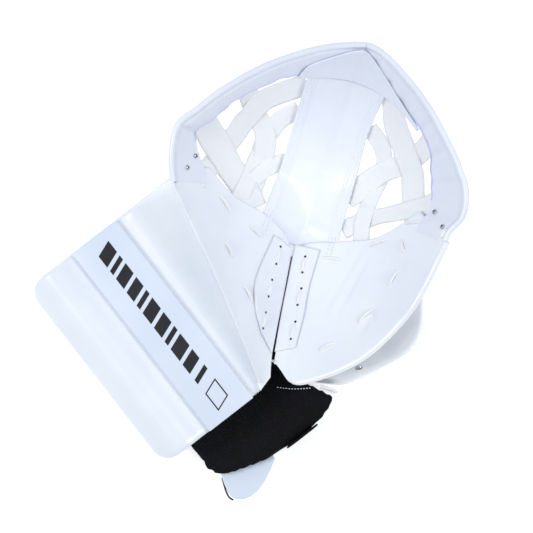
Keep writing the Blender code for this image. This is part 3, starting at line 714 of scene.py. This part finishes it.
CORNER_TOP, CORNER_LEFT = toward(210.5, 98), toward(30.5, 146.5)
BAND_ENDS = (toward(156, -87), toward(-3.5, 108))
WRINKLES = ((toward(221, 40), 1.2, 5.0), (toward(219, 6), 2.0, 4.0), (toward(218, -8), 0.9, 3.0),
            (toward(214, -24), 1.6, 5.0), (toward(222, 64), 0.9, 3.5), (toward(160, 129), 0.8, 5.0),
            (toward(75, 147), 0.6, 4.0), (toward(204, -52), 1.2, 4.0), (CORNER_LEFT, 3.0, 2.4),
            (CORNER_LEFT - 0.07, -1.2, 4.0), (CORNER_TOP, 2.0, 2.5), (CORNER_TOP - 0.1, 1.0, 4.0))


def band_place(first, last):
    def place(u, v):
        angle = first + (last - first) * u
        radius, height, _ = edge_at(angle)
        low = np.interp(angle, RATIO_ANGLE, RATIO)
        inside = np.clip(v / 0.42, 0, 1)
        turn = np.clip((v - 0.42) / 0.16, 0, 1) * math.pi
        outside = np.clip((v - 0.58) / 0.36, 0, 1)
        hem = np.clip((v - 0.94) / 0.06, 0, 1)
        half = BAND_THICKNESS / 2
        crest_ratio = 1 - 2.2 / radius
        ratio = low + (crest_ratio - low) * np.where(v < 0.5, inside, 1 - outside)
        fold = sum(size * np.exp(-((angle - at) * radius / width) ** 2) for at, size, width in WRINKLES)
        puff = 1.3 * np.sin(math.pi * np.clip(inside, 0, 1)) ** 0.8 * (v < 0.42)
        from_crest = radius * (crest_ratio - ratio)
        piping = 1.5 * np.exp(-((from_crest - 1.6) / 0.7) ** 2) * (v < 0.42)
        depth = half * (1 - np.cos(turn)) - puff + piping + fold * np.sin(math.pi * np.clip(inside, 0.1, 1)) * (v < 0.5)
        depth = depth + hem * 0 + np.where(v > 0.94, -hem * BAND_THICKNESS, 0.0)
        depth = depth + np.where((v > 0.6) & (v <= 0.94), 0.8 * np.sin(math.pi * outside), 0.0)
        x = CENTRE[0] + radius * ratio * np.cos(angle)
        y = CENTRE[1] + radius * ratio * np.sin(angle)
        base = under(bowl_height, x, y, depth)
        x2 = CENTRE[0] + radius * (ratio + 0.01) * np.cos(angle)
        y2 = CENTRE[1] + radius * (ratio + 0.01) * np.sin(angle)
        ahead = under(bowl_height, x2, y2, depth) - base
        ahead /= np.linalg.norm(ahead, axis=1, keepdims=True)
        return base + ahead * (half * np.sin(turn))[:, None]
    return place


def band(name, first, last, along, *nodes):
    bm = bent_grid(band_place(first, last), along, 72, wrap=True)
    bmesh.ops.holes_fill(bm, edges=[e for e in bm.edges if e.is_boundary])
    bmesh.ops.recalc_face_normals(bm, faces=bm.faces)
    made = finish_piece(name, bm, BAND)
    return dress(made, "shell_leather", *nodes)


SEAM = 0.0012
band("band_finger_side", BAND_ENDS[0], CORNER_TOP - SEAM, 130, "rim_finger_side", "rim_palm_end")
band("band_thumb_side", CORNER_TOP + SEAM, BAND_ENDS[1], 150, "rim_thumb_side", "rim_thumb_end")
print("band thickness", BAND_THICKNESS, "mm")

# %% [markdown]
# A binding tape finishes the inner edge of the band. It is a narrow lilac-white tube that wavers
# slightly, because the leather above it is gathered as it is sewn.

# %% Binding
def band_line(first, last, count, share, depth, waver=0.0):
    """A line on the band: share 0 is its inner edge and 1 the crest."""
    angle = np.linspace(first, last, count)
    radius = edge_at(angle)[0]
    low = np.interp(angle, RATIO_ANGLE, RATIO)
    ratio = low + (1 - low) * share + waver / radius * np.sin(angle * 31.0 + 1.5 * np.sin(angle * 11.0))
    return under(bowl_height, CENTRE[0] + radius * ratio * np.cos(angle),
                 CENTRE[1] + radius * ratio * np.sin(angle), np.full(count, depth))


binding = finish_piece("inner_binding", tube(bmesh.new(), band_line(toward(172, -50), toward(34, 126), 300, 0.03, 0.1, 0.45), 1.2), LILAC)
dress(binding, "trim_leather")

# %% [markdown]
# At the top corner the T carries on up over the band as a folded flap, so two straight creases
# run down from the corner. It is one more sheet, laid on the band's inner face.

# %% Flap in the top corner
FLAP_OUT = ((147, 117), (160, 118), (180, 111.5), (203, 101.5), (210, 92), (209.5, 66), (207, 40), (204.5, 8))
FLAP_IN = ((146, 115), (156, 107.5), (168, 98), (179, 87), (188, 75), (197.5, 55), (202, 34), (202.5, 8))


def sheet_place(edge_a, edge_b, depth, ripple=0.0):
    def place(u, v):
        a, b = spline(edge_a, u), spline(edge_b, u)
        flat = a + (b - a) * v[:, None]
        wave = ripple * np.sin(flat[:, 0] * 0.11 + 0.6 * np.sin(flat[:, 1] * 0.07)) * np.sin(math.pi * v)
        return under(bowl_height, flat[:, 0], flat[:, 1], depth + wave)
    return place


flap = finish_piece("t_flap_cover", face_up(bent_grid(sheet_place(FLAP_OUT, FLAP_IN, -2.9, 0.4), 70, 26)), BAND)
thicken(flap, 1.3)
dress(flap, "shell_leather", "t_flap")

# %% [markdown]
# The T is the wide panel down the middle of the pocket. It takes the puck, so it is doubled, hemmed
# and sewn with two rows of stitches along each side. Rows of stitches are short threads, made by
# one small helper that walks along a line and drops each thread onto the surface.

# %% T panel
T_LEFT = ((160, 115), (124, 90), (87, 63), (54, 42), (30, 26))
T_RIGHT = ((209, 58), (167, 36), (136, 13), (93, -18), (68, -37))


def t_place(u, v):
    a, b = spline(T_LEFT, u), spline(T_RIGHT, u)
    flat = a + (b - a) * v[:, None]
    from_side = np.minimum(v, 1 - v) * np.linalg.norm(b - a, axis=1)
    hem = 0.7 * smooth_step((9.5 - from_side) / 1.0)
    row = 0.35 * (np.exp(-((from_side - 3.2) / 0.7) ** 2) + np.exp(-((from_side - 7.4) / 0.7) ** 2))
    soft = 0.35 * np.sin(u * 11.0 + 2.0 * v) * np.sin(math.pi * v) * np.sin(math.pi * u)
    tucked = 3.2 * smooth_step((u - 0.80) / 0.10)
    return under(bowl_height, flat[:, 0], flat[:, 1], soft - hem + row + tucked)


t_panel = finish_piece("t_panel_leather", face_up(bent_grid(t_place, 90, 84)), T_LEATHER)
thicken(t_panel, 1.8)
dress(t_panel, "t_panel_leather", "t_panel")


def stitch_row(bm, points, pitch=3.6, length=2.3, radius=0.32, lift=0.5):
    """Short threads along a line of (x, y) points on the bowl."""
    line = evenly(points, 400)
    run = np.concatenate([[0], np.cumsum(np.linalg.norm(np.diff(line, axis=0), axis=1))])
    for start in np.arange(pitch, run[-1] - pitch, pitch):
        at = np.linspace(start, start + length, 4)
        x, y = (np.interp(at, run, line[:, k]) for k in (0, 1))
        depth = -lift * np.array([0.0, 1.0, 1.0, 0.0])
        tube(bm, under(bowl_height, x, y, depth), radius, 5)
    return bm


bm = bmesh.new()
for share in (0.037, 0.088, 0.912, 0.963):
    s = np.linspace(0, 1, 30)
    a, b = spline(T_LEFT, s), spline(T_RIGHT, s)
    stitch_row(bm, a + (b - a) * share, lift=0.7)
dress(finish_piece("t_stitches", bm, LACE), "trim_leather")

# %% [markdown]
# The webbing is a lattice of flat nylon straps, woven over and under and sewn to the band at one
# end and to the T at the other. Each strap knows where it crosses the others, and dips or rises
# there by its own thickness.

# %% Webbing
STRAPS = {                     # width, direction, number in that direction, centre line
    "net_strap_thumb_1": (24, 0, 0, ((52, 133), (48, 97), (47, 66), (42, 44))),
    "net_strap_thumb_2": (19, 0, 1, ((100, 132), (93, 108), (89, 90), (72, 72), (50, 58), (34, 48))),
    "net_strap_thumb_3": (18, 1, 0, ((146, 101), (107, 113), (84, 110), (63, 104), (30, 97))),
    "net_strap_thumb_4": (16, 1, 1, ((126, 87), (108, 91), (88, 85), (64, 73), (30, 56))),
    "webbing_thumb_5": (14, 1, 2, ((92, 57), (77, 64), (62, 66), (48, 62))),
    "net_strap_palm_1": (20, 0, 0, ((198, 58), (190, 38), (182, 18), (177, 0), (171, -17), (159, -34), (147, -52))),
    "net_strap_palm_2": (14, 0, 1, ((165, 38), (163, 16), (150, 0), (131, -10), (110, -24), (96, -38))),
    "net_strap_palm_3": (19, 1, 0, ((110, 2), (147, 0), (169, -6), (188, -8), (207, -4))),
    "net_strap_palm_4": (16, 1, 1, ((90, -19), (116, -25), (138, -36), (162, -47), (176, -50))),
}
NARROW_TOP = {"net_strap_palm_1"}      # pulled together where it is sewn to the band


def crossings(name):
    """Where along a strap it crosses others, and whether it lies over (1) or under (-1) them."""
    _, way, number, line = STRAPS[name]
    mine = evenly(line, 200)
    found = []
    for _, other_way, other_number, other_line in STRAPS.values():
        gap = np.linalg.norm(mine[:, None] - evenly(other_line, 200)[None], axis=2)
        if other_way != way and gap.min() < 4.0:
            over = (number + other_number + way) % 2 == 0
            found.append((np.unravel_index(gap.argmin(), gap.shape)[0] / 199, 1 if over else -1))
    return found


def strap_place(name, length):
    width, _, _, line = STRAPS[name]
    centre = evenly(line, 200)
    crossed = crossings(name)

    def place(u, v):
        at = u * 199
        mid, step = ([np.interp(at + k, np.arange(200), centre[:, i]) for i in (0, 1)] for k in (0, 1))
        mid, step = np.array(mid).T, np.array(step).T
        back = np.array([np.interp(at - 1, np.arange(200), centre[:, i]) for i in (0, 1)]).T
        ahead = step - back
        side = np.column_stack([-ahead[:, 1], ahead[:, 0]]) / np.linalg.norm(ahead, axis=1, keepdims=True)
        pulled = 1 - 0.55 * smooth_step(1 - u / 0.3) * (name in NARROW_TOP)
        flat = mid + side * (width * pulled * (v - 0.5))[:, None]
        level = sum(sign * 1.15 * np.exp(-((u - where) * length / 14.0) ** 4) for where, sign in crossed)
        edge = 0.25 * np.cos((v - 0.5) * 2 * math.pi)
        return under(bowl_height, flat[:, 0], flat[:, 1], 4.0 - level - edge)
    return place


for name, (width, _, _, line) in STRAPS.items():
    length = np.linalg.norm(np.diff(evenly(line, 200), axis=0), axis=1).sum() * 1.25
    bm = face_up(bent_grid(strap_place(name, length), 60, 10, size=(length * MM, width * MM)))
    web = finish_piece(name.replace("net_strap", "webbing"), bm, WEBBING)
    thicken(web, 1.3)
    dress(web, "webbing", *([name] if name in frame["nodes"] else []))
print(len(STRAPS), "straps woven")

# %% [markdown]
# At the break, thumb and palm are held by two stiff strips of leather with a lace worked through
# slots. Under the gap lies a dark web that is the hinge itself.

# %% Break strips and web
STRIP_THUMB = (((-31.0, -71.2), (-9.0, -51.5), (13.0, -32.2), (43.0, -5.5)), ((-27, -50), (-18, -30), (-1, -8), (38, 14)))
STRIP_PALM = (((-28.0, -71.8), (-5.5, -50.8), (16.0, -31.8), (47.5, -4.8)), ((-10, -81), (14, -62.5), (35, -44), (63, -24)))


def break_strip(name, edges, node, body):
    made = finish_piece(name, face_up(bent_grid(sheet_place(*edges, -2.4), 60, 14)), TRIM)
    thicken(made, 1.7)
    dress(made, "trim_leather", node, body=body)


break_strip("break_strip_thumb_leather", STRIP_THUMB, "break_strip_thumb", "thumb_side")
break_strip("break_strip_palm_leather", STRIP_PALM, "break_strip_palm", "hand_side")
web_edges = (((-38, -70), (-14, -48), (10, -26), (36, -2)), ((-25, -81), (0, -59), (24, -38), (44, -18)))
web = finish_piece("break_web", face_up(bent_grid(sheet_place(*web_edges, 4.2), 40, 12)), BLACK)
thicken(web, 1.2)
dress(web, "black_fabric")

# %% [markdown]
# Laces show as short runs between two holes. Each run is an arched tube that dives into the
# leather at both ends, with a dark ring of thread hole at one end.

# %% Laces
def on_bowl(x, y, lift):
    """A point above the bowl and the direction square to it."""
    x, y = np.array([float(x)]), np.array([float(y)])
    low, high = under(bowl_height, x, y, 0.0)[0], under(bowl_height, x, y, -1.0)[0]
    return low + (high - low) * lift, high - low


def lace_run(bm, start, end, lift, radius=1.4):
    """One visible run of lace over the surface between two holes."""
    t = np.linspace(0, 1, 9)
    x, y = (start[k] + (end[k] - start[k]) * t for k in (0, 1))
    arch = lift * np.sin(math.pi * t) ** 0.35 - 1.6 * (1 - np.sin(math.pi * t) ** 0.5)
    return tube(bm, under(bowl_height, x, y, -arch), radius, 8)


def lace_set(name, runs, lift, body):
    bm = bmesh.new()
    for start, end in runs:
        lace_run(bm, start, end, lift)
    return dress(finish_piece(name, bm, LACE), "trim_leather", body=body)


PALM_RUNS = (((60, -30), (74, -43)), ((102, -49), (119, -54)), ((129, -62), (123, -73)), ((93, -89), (109, -82)),
             ((50, -98), (68, -96)), ((6, -96), (22, -99)), ((140, -52), (153, -60)))
THUMB_RUNS = (((-1, 38), (-5, 20)), ((25, 36), (28, 18)), ((-12, -4), (-16, -24)), ((21, 76), (19, 52)))


lace_set("palm_laces", PALM_RUNS, 1.7, "hand_side")
lace_set("thumb_laces", THUMB_RUNS, 1.7, "thumb_side")
BREAK_PALM_RUNS = (((49, -21), (38, -31)), ((28, -42), (16, -52)), ((5, -63), (-8, -73)))
BREAK_THUMB_RUNS = (((35, 2), (22, -8)), ((10, -17), (-2, -27)), ((-13, -37), (-24, -47)))
lace_set("break_laces_palm", BREAK_PALM_RUNS, 3.0, "hand_side")
lace_set("break_laces_thumb", BREAK_THUMB_RUNS, 3.0, "thumb_side")


def hole_set(name, runs, lift, body, radius=1.15):
    """Dark thread holes at both ends of each lace run."""
    bm = bmesh.new()
    for start, end in runs:
        for x, y in (start, end):
            point, normal = on_bowl(x, y, lift)
            disc = bmesh.ops.create_circle(bm, cap_ends=True, segments=12, radius=radius * MM)
            raised = bmesh.ops.extrude_face_region(bm, geom=list({f for v in disc["verts"] for f in v.link_faces}))
            for item in raised["geom"]:
                if isinstance(item, bmesh.types.BMVert):
                    item.co.z += 0.5 * MM
            whole = disc["verts"] + [i for i in raised["geom"] if isinstance(i, bmesh.types.BMVert)]
            turn = Vector(normal).to_track_quat("Z", "Y").to_matrix().to_4x4()
            bmesh.ops.transform(bm, matrix=turn, verts=whole)
            bmesh.ops.translate(bm, vec=Vector(world(point)), verts=whole)
    bmesh.ops.recalc_face_normals(bm, faces=bm.faces)
    return dress(finish_piece(name, bm, PRINT), "trim_leather", body=body)


hole_set("break_holes_palm", BREAK_PALM_RUNS, 2.15, "hand_side")
hole_set("break_holes_thumb", BREAK_THUMB_RUNS, 2.15, "thumb_side")


# %% [markdown]
# Eyelets are rolled nickel rings round a dark hole; rivets are low domes. Both are turned shapes,
# so each is spun from a few points round its own axis and then set square to the leather.

# %% Eyelets and rivets
def turned(name, profile, place, normal, look, steps=28):
    """Spin a profile of (radius, height) points in mm, and set it on the leather."""
    bm = bmesh.new()
    verts = [bm.verts.new((r * MM, 0, h * MM)) for r, h in profile]
    edges = [bm.edges.new(pair) for pair in zip(verts, verts[1:])]
    if profile[0][0] and profile[-1][0]:
        edges.append(bm.edges.new((verts[-1], verts[0])))
    bmesh.ops.spin(bm, geom=verts + edges, cent=(0, 0, 0), axis=(0, 0, 1), angle=2 * math.pi, steps=steps,
                   use_merge=True)
    bmesh.ops.remove_doubles(bm, verts=bm.verts, dist=0.00001)
    bmesh.ops.recalc_face_normals(bm, faces=bm.faces)
    turn = Vector(normal).to_track_quat("Z", "Y").to_matrix().to_4x4()
    bmesh.ops.transform(bm, matrix=turn, verts=bm.verts)
    bmesh.ops.translate(bm, vec=Vector(world(place)), verts=bm.verts)
    return finish_piece(name, bm, look)


EYELET = ((1.0, 0.0), (1.0, 0.5), (1.3, 0.9), (1.9, 0.8), (2.3, 0.3), (2.3, -0.4), (1.0, -0.4))
EYELETS = {"eyelet_thumb_1": (12.5, 112, "thumb_side"), "eyelet_thumb_2": (25, 116, "thumb_side"),
           "eyelet_palm_1": (168, -61, "hand_side"), "eyelet_palm_2": (165, -76, "hand_side")}
for name, (x, y, body) in EYELETS.items():
    point, normal = on_bowl(x, y, 1.9)
    ring = turned(name.replace("eyelet", "eyelet_ring"), EYELET, point, normal, NICKEL)
    dress(ring, "nickel", name, body=body)
    point, normal = on_bowl(x, y, 1.4)
    hole = turned(name.replace("eyelet", "eyelet_hole"), ((0, 0.3), (0.98, 0.3), (0.98, -0.3), (0, -0.3)), point, normal, PRINT, 16)
    dress(hole, "nickel", body=body)

DOME = ((0, 1.5), (1.4, 1.3), (2.6, 0.8), (3.3, 0.1), (3.4, -0.4), (0, -0.4))
point, normal = on_bowl(15, 90, 0.5)
dress(turned("white_rivet", DOME, point, normal, BEAD), "white_rivet", "rivet_thumb", body="thumb_side")

# %% [markdown]
# The backhand guard is one ivory moulding, a bulging wall that starts under the palm's edge,
# rounds outwards and turns in along the floor. A curve drawn through seven points gives its
# section, and the section is swept along the side of the hand.

# %% Backhand guard
GUARD_SIDE = ((-20, -112), (-6, -134), (16, -142), (40, -147), (76, -149), (100, -140), (116, -116))
GUARD_DROP, GUARD_INNER_Y, GUARD_WALL = 24.0, -62.0, 3.0
INSIDE_HAND = (40, -90, 45)


def guard_place(u, v):
    x = GUARD_SIDE[0][0] + (GUARD_SIDE[-1][0] - GUARD_SIDE[0][0]) * u
    out = spline(GUARD_SIDE, u)[:, 1]
    edge = evenly(PALM_EDGE, 400)
    crest = np.interp(x, edge[:, 0], edge[:, 1])
    top = bowl_height(x, crest) - GUARD_DROP
    none = np.zeros_like(x)
    section = np.array([(crest - 2, top), (out + 4, top - 12), (out, none + 34), (out + 7, none + 11),
                        (out + 24, none), (out + 40, none), (none + GUARD_INNER_Y, none)])
    section = np.concatenate([[2 * section[0] - section[1]], section, [2 * section[-1] - section[-2]]])
    at = v * 6
    i = np.minimum(at.astype(int), 5)
    t = at - i
    p0, p1, p2, p3 = (section[i + k, :, np.arange(len(u))] for k in range(4))
    t = t[:, None]
    bend = 0.5 * (2 * p1 + (p2 - p0) * t + (2 * p0 - 5 * p1 + 4 * p2 - p3) * t ** 2
                  + (3 * p1 - p0 - 3 * p2 + p3) * t ** 3)
    return np.stack([x, bend[:, 0], np.maximum(bend[:, 1], 0.0)], axis=-1)


def face_away(bm, inside):
    """Turn an open sheet so that its front faces away from a working point."""
    bm.normal_update()
    centre = Vector(world(inside))
    if sum((f.calc_center_median() - centre).dot(f.normal) * f.calc_area() for f in bm.faces) < 0:
        bmesh.ops.reverse_faces(bm, faces=bm.faces)
    return bm


guard = finish_piece("guard_moulding", face_away(bent_grid(guard_place, 90, 70), INSIDE_HAND), IVORY)
thicken(guard, GUARD_WALL, bevel=1.1)
dress(guard, "guard_plastic", "backhand_guard", body="hand_side")
HEAD = ((0, 1.6), (1.5, 1.4), (2.7, 0.9), (3.4, 0.1), (3.5, -0.4), (0, -0.4))
for number, (u, v) in enumerate(((0.045, 0.08), (0.33, 0.08)), 1):
    corner, along, across = guard_place(np.array([u, u + 0.01, u]), np.array([v, v, v + 0.01]))
    outward = Vector(np.cross(along - corner, across - corner)).normalized()
    if outward.dot(Vector(corner) - Vector(INSIDE_HAND)) < 0:
        outward.negate()
    head = turned(f"guard_rivet_{number}_head", HEAD, corner + 0.4 * np.array(outward), outward, NICKEL)
    dress(head, "nickel", f"guard_rivet_{number}", body="hand_side")

# %% [markdown]
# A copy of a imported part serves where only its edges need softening. Its triangles are loose, so
# it is welded first; a bevel rounds the edges and a subdivision smooths the faces.

# %% Softened copies
def welded_copy(node, name, look, levels, bevel=0.9):
    """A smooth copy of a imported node."""
    bm = bmesh.new()
    bm.from_mesh(frame["nodes"][node].data)
    bmesh.ops.remove_doubles(bm, verts=bm.verts, dist=0.00001)
    bmesh.ops.join_triangles(bm, faces=bm.faces, angle_face_threshold=0.7, angle_shape_threshold=3.14)
    made = finish_piece(name, bm, look)
    edge = made.modifiers.new("edge", "BEVEL")
    edge.width, edge.segments, edge.limit_method = bevel * MM, 2, "ANGLE"
    edge.angle_limit = math.radians(45)
    fine = made.modifiers.new("fine", "SUBSURF")
    fine.levels = fine.render_levels = levels
    return made


# %% [markdown]
# Pads are sewn bags of fabric round soft foam. Each starts as a slightly shrunken copy of its
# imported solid, remeshed evenly, and is blown up for a moment as cloth, so that it swells
# between its edges as a real pad does.

# %% Stuffed pads
PADS = (                         # node, new name, look, slot, shrink, voxel, most swell, fill
    ("wrist_pad", "wrist_lining", BLACK, "black_fabric", 1.0, 3.0, 3.0, 0.7),
    ("palm_foam", "palm_quilt", LINER, "liner", 1.1, 2.6, 0.9, 0.5),
    ("thumb_foam", "thumb_quilt", LINER, "liner", 0.6, 2.2, 0.6, 0.5),
    ("backhand_foam", "backhand_quilt", BLACK, "foam", 0.9, 2.6, 2.0, 0.6),
    ("thumb_back_pad", "thumb_cushion", BACK, "back_leather", 2.0, 4.0, 4.0, 0.8),
)


WRIST_OUT = (
    (-146, -116), (-137, -131), (-116, -142), (-85, -149.5), (-48, -149.5), (-24, -146.5), (-8, -139),
)
WRIST_IN = ((-146, -66), (-128, -60), (-106, -58), (-82, -56), (-56, -54), (-44, -58), (-36, -66))
WRIST_THICKNESS = 7.0


def wrist_place(u, v):
    flat = spline(WRIST_OUT, u) * (1 - v)[:, None] + spline(WRIST_IN, u) * v[:, None]
    return np.column_stack([flat, 13.0 + 23.0 * (1 - v) ** 2.2])


def bag(node, name, shrink, voxel):
    """A shrunken, evenly remeshed closed shape to be stuffed."""
    if node == "wrist_pad":
        bm = face_up(bent_grid(wrist_place, 40, 24))
        grown = bmesh.ops.extrude_face_region(bm, geom=bm.faces[:])["geom"]
        low = [item for item in grown if isinstance(item, bmesh.types.BMVert)]
        bmesh.ops.translate(bm, verts=low, vec=(0, 0, -WRIST_THICKNESS * MM))
    else:
        bm = bmesh.new()
        bm.from_mesh(frame["nodes"][node].data)
        bmesh.ops.remove_doubles(bm, verts=bm.verts, dist=0.00001)
    bmesh.ops.recalc_face_normals(bm, faces=bm.faces)
    bm.normal_update()
    for vert, normal in [(v, v.normal.copy()) for v in bm.verts]:
        vert.co -= normal * shrink * MM
    made = finish_piece(name, bm, LINER)
    remesh = made.modifiers.new("even", "REMESH")
    remesh.mode, remesh.voxel_size = "VOXEL", voxel * MM
    freeze(made)
    return made


def freeze(made):
    """Apply every modifier on a piece at the present frame."""
    ready = made.evaluated_get(bpy.context.evaluated_depsgraph_get())
    mesh = bpy.data.meshes.new_from_object(ready)
    made.modifiers.clear()
    made.data = mesh


bags = [bag(node, name, shrink, voxel) for node, name, _, _, shrink, voxel, _, _ in PADS]
before = [np.array([v.co for v in b.data.vertices]) for b in bags]
for made in bags:
    cloth = made.modifiers.new("cloth", "CLOTH")
    cloth.settings.use_pressure = True
    cloth.settings.uniform_pressure_force = 4.0
    cloth.settings.effector_weights.gravity = 0.0
for step in range(1, 21):
    scene.frame_set(step)
for made in bags:
    freeze(made)
scene.frame_set(1)
for made, old, (node, _, look, slot, _, _, cap, fill) in zip(bags, before, PADS):
    now = np.array([v.co for v in made.data.vertices])
    move = now - old
    far = np.linalg.norm(move, axis=1, keepdims=True)
    capped = old + move * np.minimum(1.0, cap * MM / np.maximum(far, 1e-9))
    for vert, point in zip(made.data.vertices, capped):
        vert.co = point
    made.data.materials.clear()
    made.data.materials.append(look)
    made.data.shade_smooth()
    fine = made.modifiers.new("fine", "SUBSURF")
    fine.levels = fine.render_levels = 1
    dress(made, slot, node, body=frame["nodes"][node]["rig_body"])
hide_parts("palm_liner")
print(len(bags), "pads stuffed")

# %% [markdown]
# Sleeves, straps and the tab are thin goods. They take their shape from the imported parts, with
# every cut edge rounded over and the surface subdivided, so that the knit or weave reads.

# %% Sleeves, straps and tab
THIN = (("thumb_stall", LINER, "liner", 0.4, 1), ("finger_stall_index", LINER, "liner", 0.4, 1),
        ("finger_stall_middle", LINER, "liner", 0.4, 1), ("finger_stall_ring", LINER, "liner", 0.4, 1),
        ("finger_stall_little", LINER, "liner", 0.4, 1), ("strap_base", BLACK, "black_fabric", 0.8, 1),
        ("wrist_strap", BLACK, "black_fabric", 0.8, 1), ("wrist_tab", SATIN, "trim_leather", 0.9, 1))
for node, look, slot, bevel, levels in THIN:
    thin = welded_copy(node, node + "_soft", look, levels, bevel)
    dress(thin, slot, node, body=frame["nodes"][node]["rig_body"])

# %% [markdown]
# Small sewn details finish the wrist: a pale seam across the lining, black piping round the free
# edge of the tab, and a short white loop where the guard's lacing ends. The seam is dropped onto
# the lining with rays, because the stuffed surface is only known once it has been made.

# %% Wrist details
def dropper(made):
    """A function that gives the height of a piece's top at a working point."""
    ready = made.evaluated_get(bpy.context.evaluated_depsgraph_get())
    tree = BVHTree.FromObject(ready, bpy.context.evaluated_depsgraph_get())

    def top(x, y):
        hit = tree.ray_cast(Vector((*world((x, y, 0))[:2], 1.0)), Vector((0, 0, -1)))[0]
        return None if hit is None else hit.z / MM
    return top


top = dropper(bags[0])
bm = bmesh.new()
SEAM_LINE = ((-46, -99), (-38, -107), (-29, -114), (-20, -120))
line = evenly(SEAM_LINE, 200)
for start in range(2, 190, 16):
    pieces = [(x, y, top(x, y)) for x, y in line[start:start + 12:4]]
    if all(z is not None for _, _, z in pieces):
        tube(bm, [(x, y, z + 0.25) for x, y, z in pieces], 0.45, 6)
dress(finish_piece("lining_seam", bm, LACE), "trim_leather", body=frame["nodes"]["wrist_pad"]["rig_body"])

tab_low, tab_high = (np.array(c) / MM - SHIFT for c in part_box("wrist_tab"))
TAB_EDGE = ((-136, -131), (-143, -150), (-140, -159), (-129, -166), (-109, -163), (-87, -150), (-88, -133))
edge = np.column_stack([evenly(TAB_EDGE, 90), np.full(90, (tab_low[2] + tab_high[2]) / 2)])
dress(finish_piece("tab_piping", tube(bmesh.new(), edge[3:24], 0.9), PRINT), "black_fabric", body="wrist_tab")

LOOP = ((-13, -123, 50), (-9.5, -127.5, 51), (-6, -133, 47), (-4.5, -136, 42), (-8, -134, 43), (-12, -128.5, 46), (-14, -124, 47))
dress(finish_piece("lace_loop", tube(bmesh.new(), evenly(LOOP, 60), 1.3), LACE), "trim_leather", body="hand_side")

# %% [markdown]
# The floor is a plain pale table that glows a little, as on a light table, so the white glove is
# lit softly from all sides.

# %% Floor, lights and camera
def plane(name, size, z, look):
    bm = bmesh.new()
    bmesh.ops.create_grid(bm, x_segments=1, y_segments=1, size=size)
    for vert in bm.verts:
        vert.co.z = z
    return finish_piece(name, bm, look, smooth=False)


floor_look, floor_nodes, floor_links, floor_shader = new_look("pale floor", (0.95, 0.95, 0.95), 0.9)
floor_shader.inputs["Emission Color"].default_value = (1, 1, 1, 1)
floor_shader.inputs["Emission Strength"].default_value = 0.45
plane("floor", 3.0, -0.0006, floor_look)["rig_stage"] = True


def area_light(name, place, target, size, watts, colour=(1, 1, 1)):
    data = bpy.data.lights.new(name, "AREA")
    data.shape, data.size, data.energy, data.color = "DISK", size, watts, colour
    lamp = bpy.data.objects.new(name, data)
    lamp.location = place
    lamp.rotation_euler = (Vector(target) - Vector(place)).to_track_quat("-Z", "Y").to_euler()
    scene.collection.objects.link(lamp)


area_light("key", (-1.15, 0.75, 1.95), (0, 0, 0.05), 0.9, 22.0)
area_light("fill", (1.15, -0.75, 1.95), (0, 0, 0.05), 1.1, 20.0)

world_data = bpy.data.worlds.new("studio")
world_data.use_nodes = True
world_data.node_tree.nodes["Background"].inputs["Color"].default_value = (0.84, 0.91, 1.0, 1)
world_data.node_tree.nodes["Background"].inputs["Strength"].default_value = 0.46
scene.world = world_data
scene.view_settings.view_transform = "Standard"

VIEW_CENTRE = (15.0, -5.0)
VIEW_WIDTH = 533 * 0.92
VIEW_TURN = math.radians(37.8)
CAMERA_HEIGHT = 10.0
MIDDLE_HEIGHT = 0.08
camera_data = bpy.data.cameras.new("camera")
camera_data.sensor_width = 36.0
camera_data.lens = 36.0 * (CAMERA_HEIGHT - MIDDLE_HEIGHT) / (VIEW_WIDTH * MM)
camera_data.clip_end = 40.0
camera = bpy.data.objects.new("camera", camera_data)
camera.location = (*world((*VIEW_CENTRE, 0.0))[:2], CAMERA_HEIGHT)
camera.rotation_euler = (0, 0, -VIEW_TURN)
scene.collection.objects.link(camera)
scene.camera = camera

# %% [markdown]
# Last, the size of the dressed glove is printed.

# %% Sizes and finish
low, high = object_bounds()
print("visual size mm", [round((b - a) / MM, 1) for a, b in zip(low, high)])
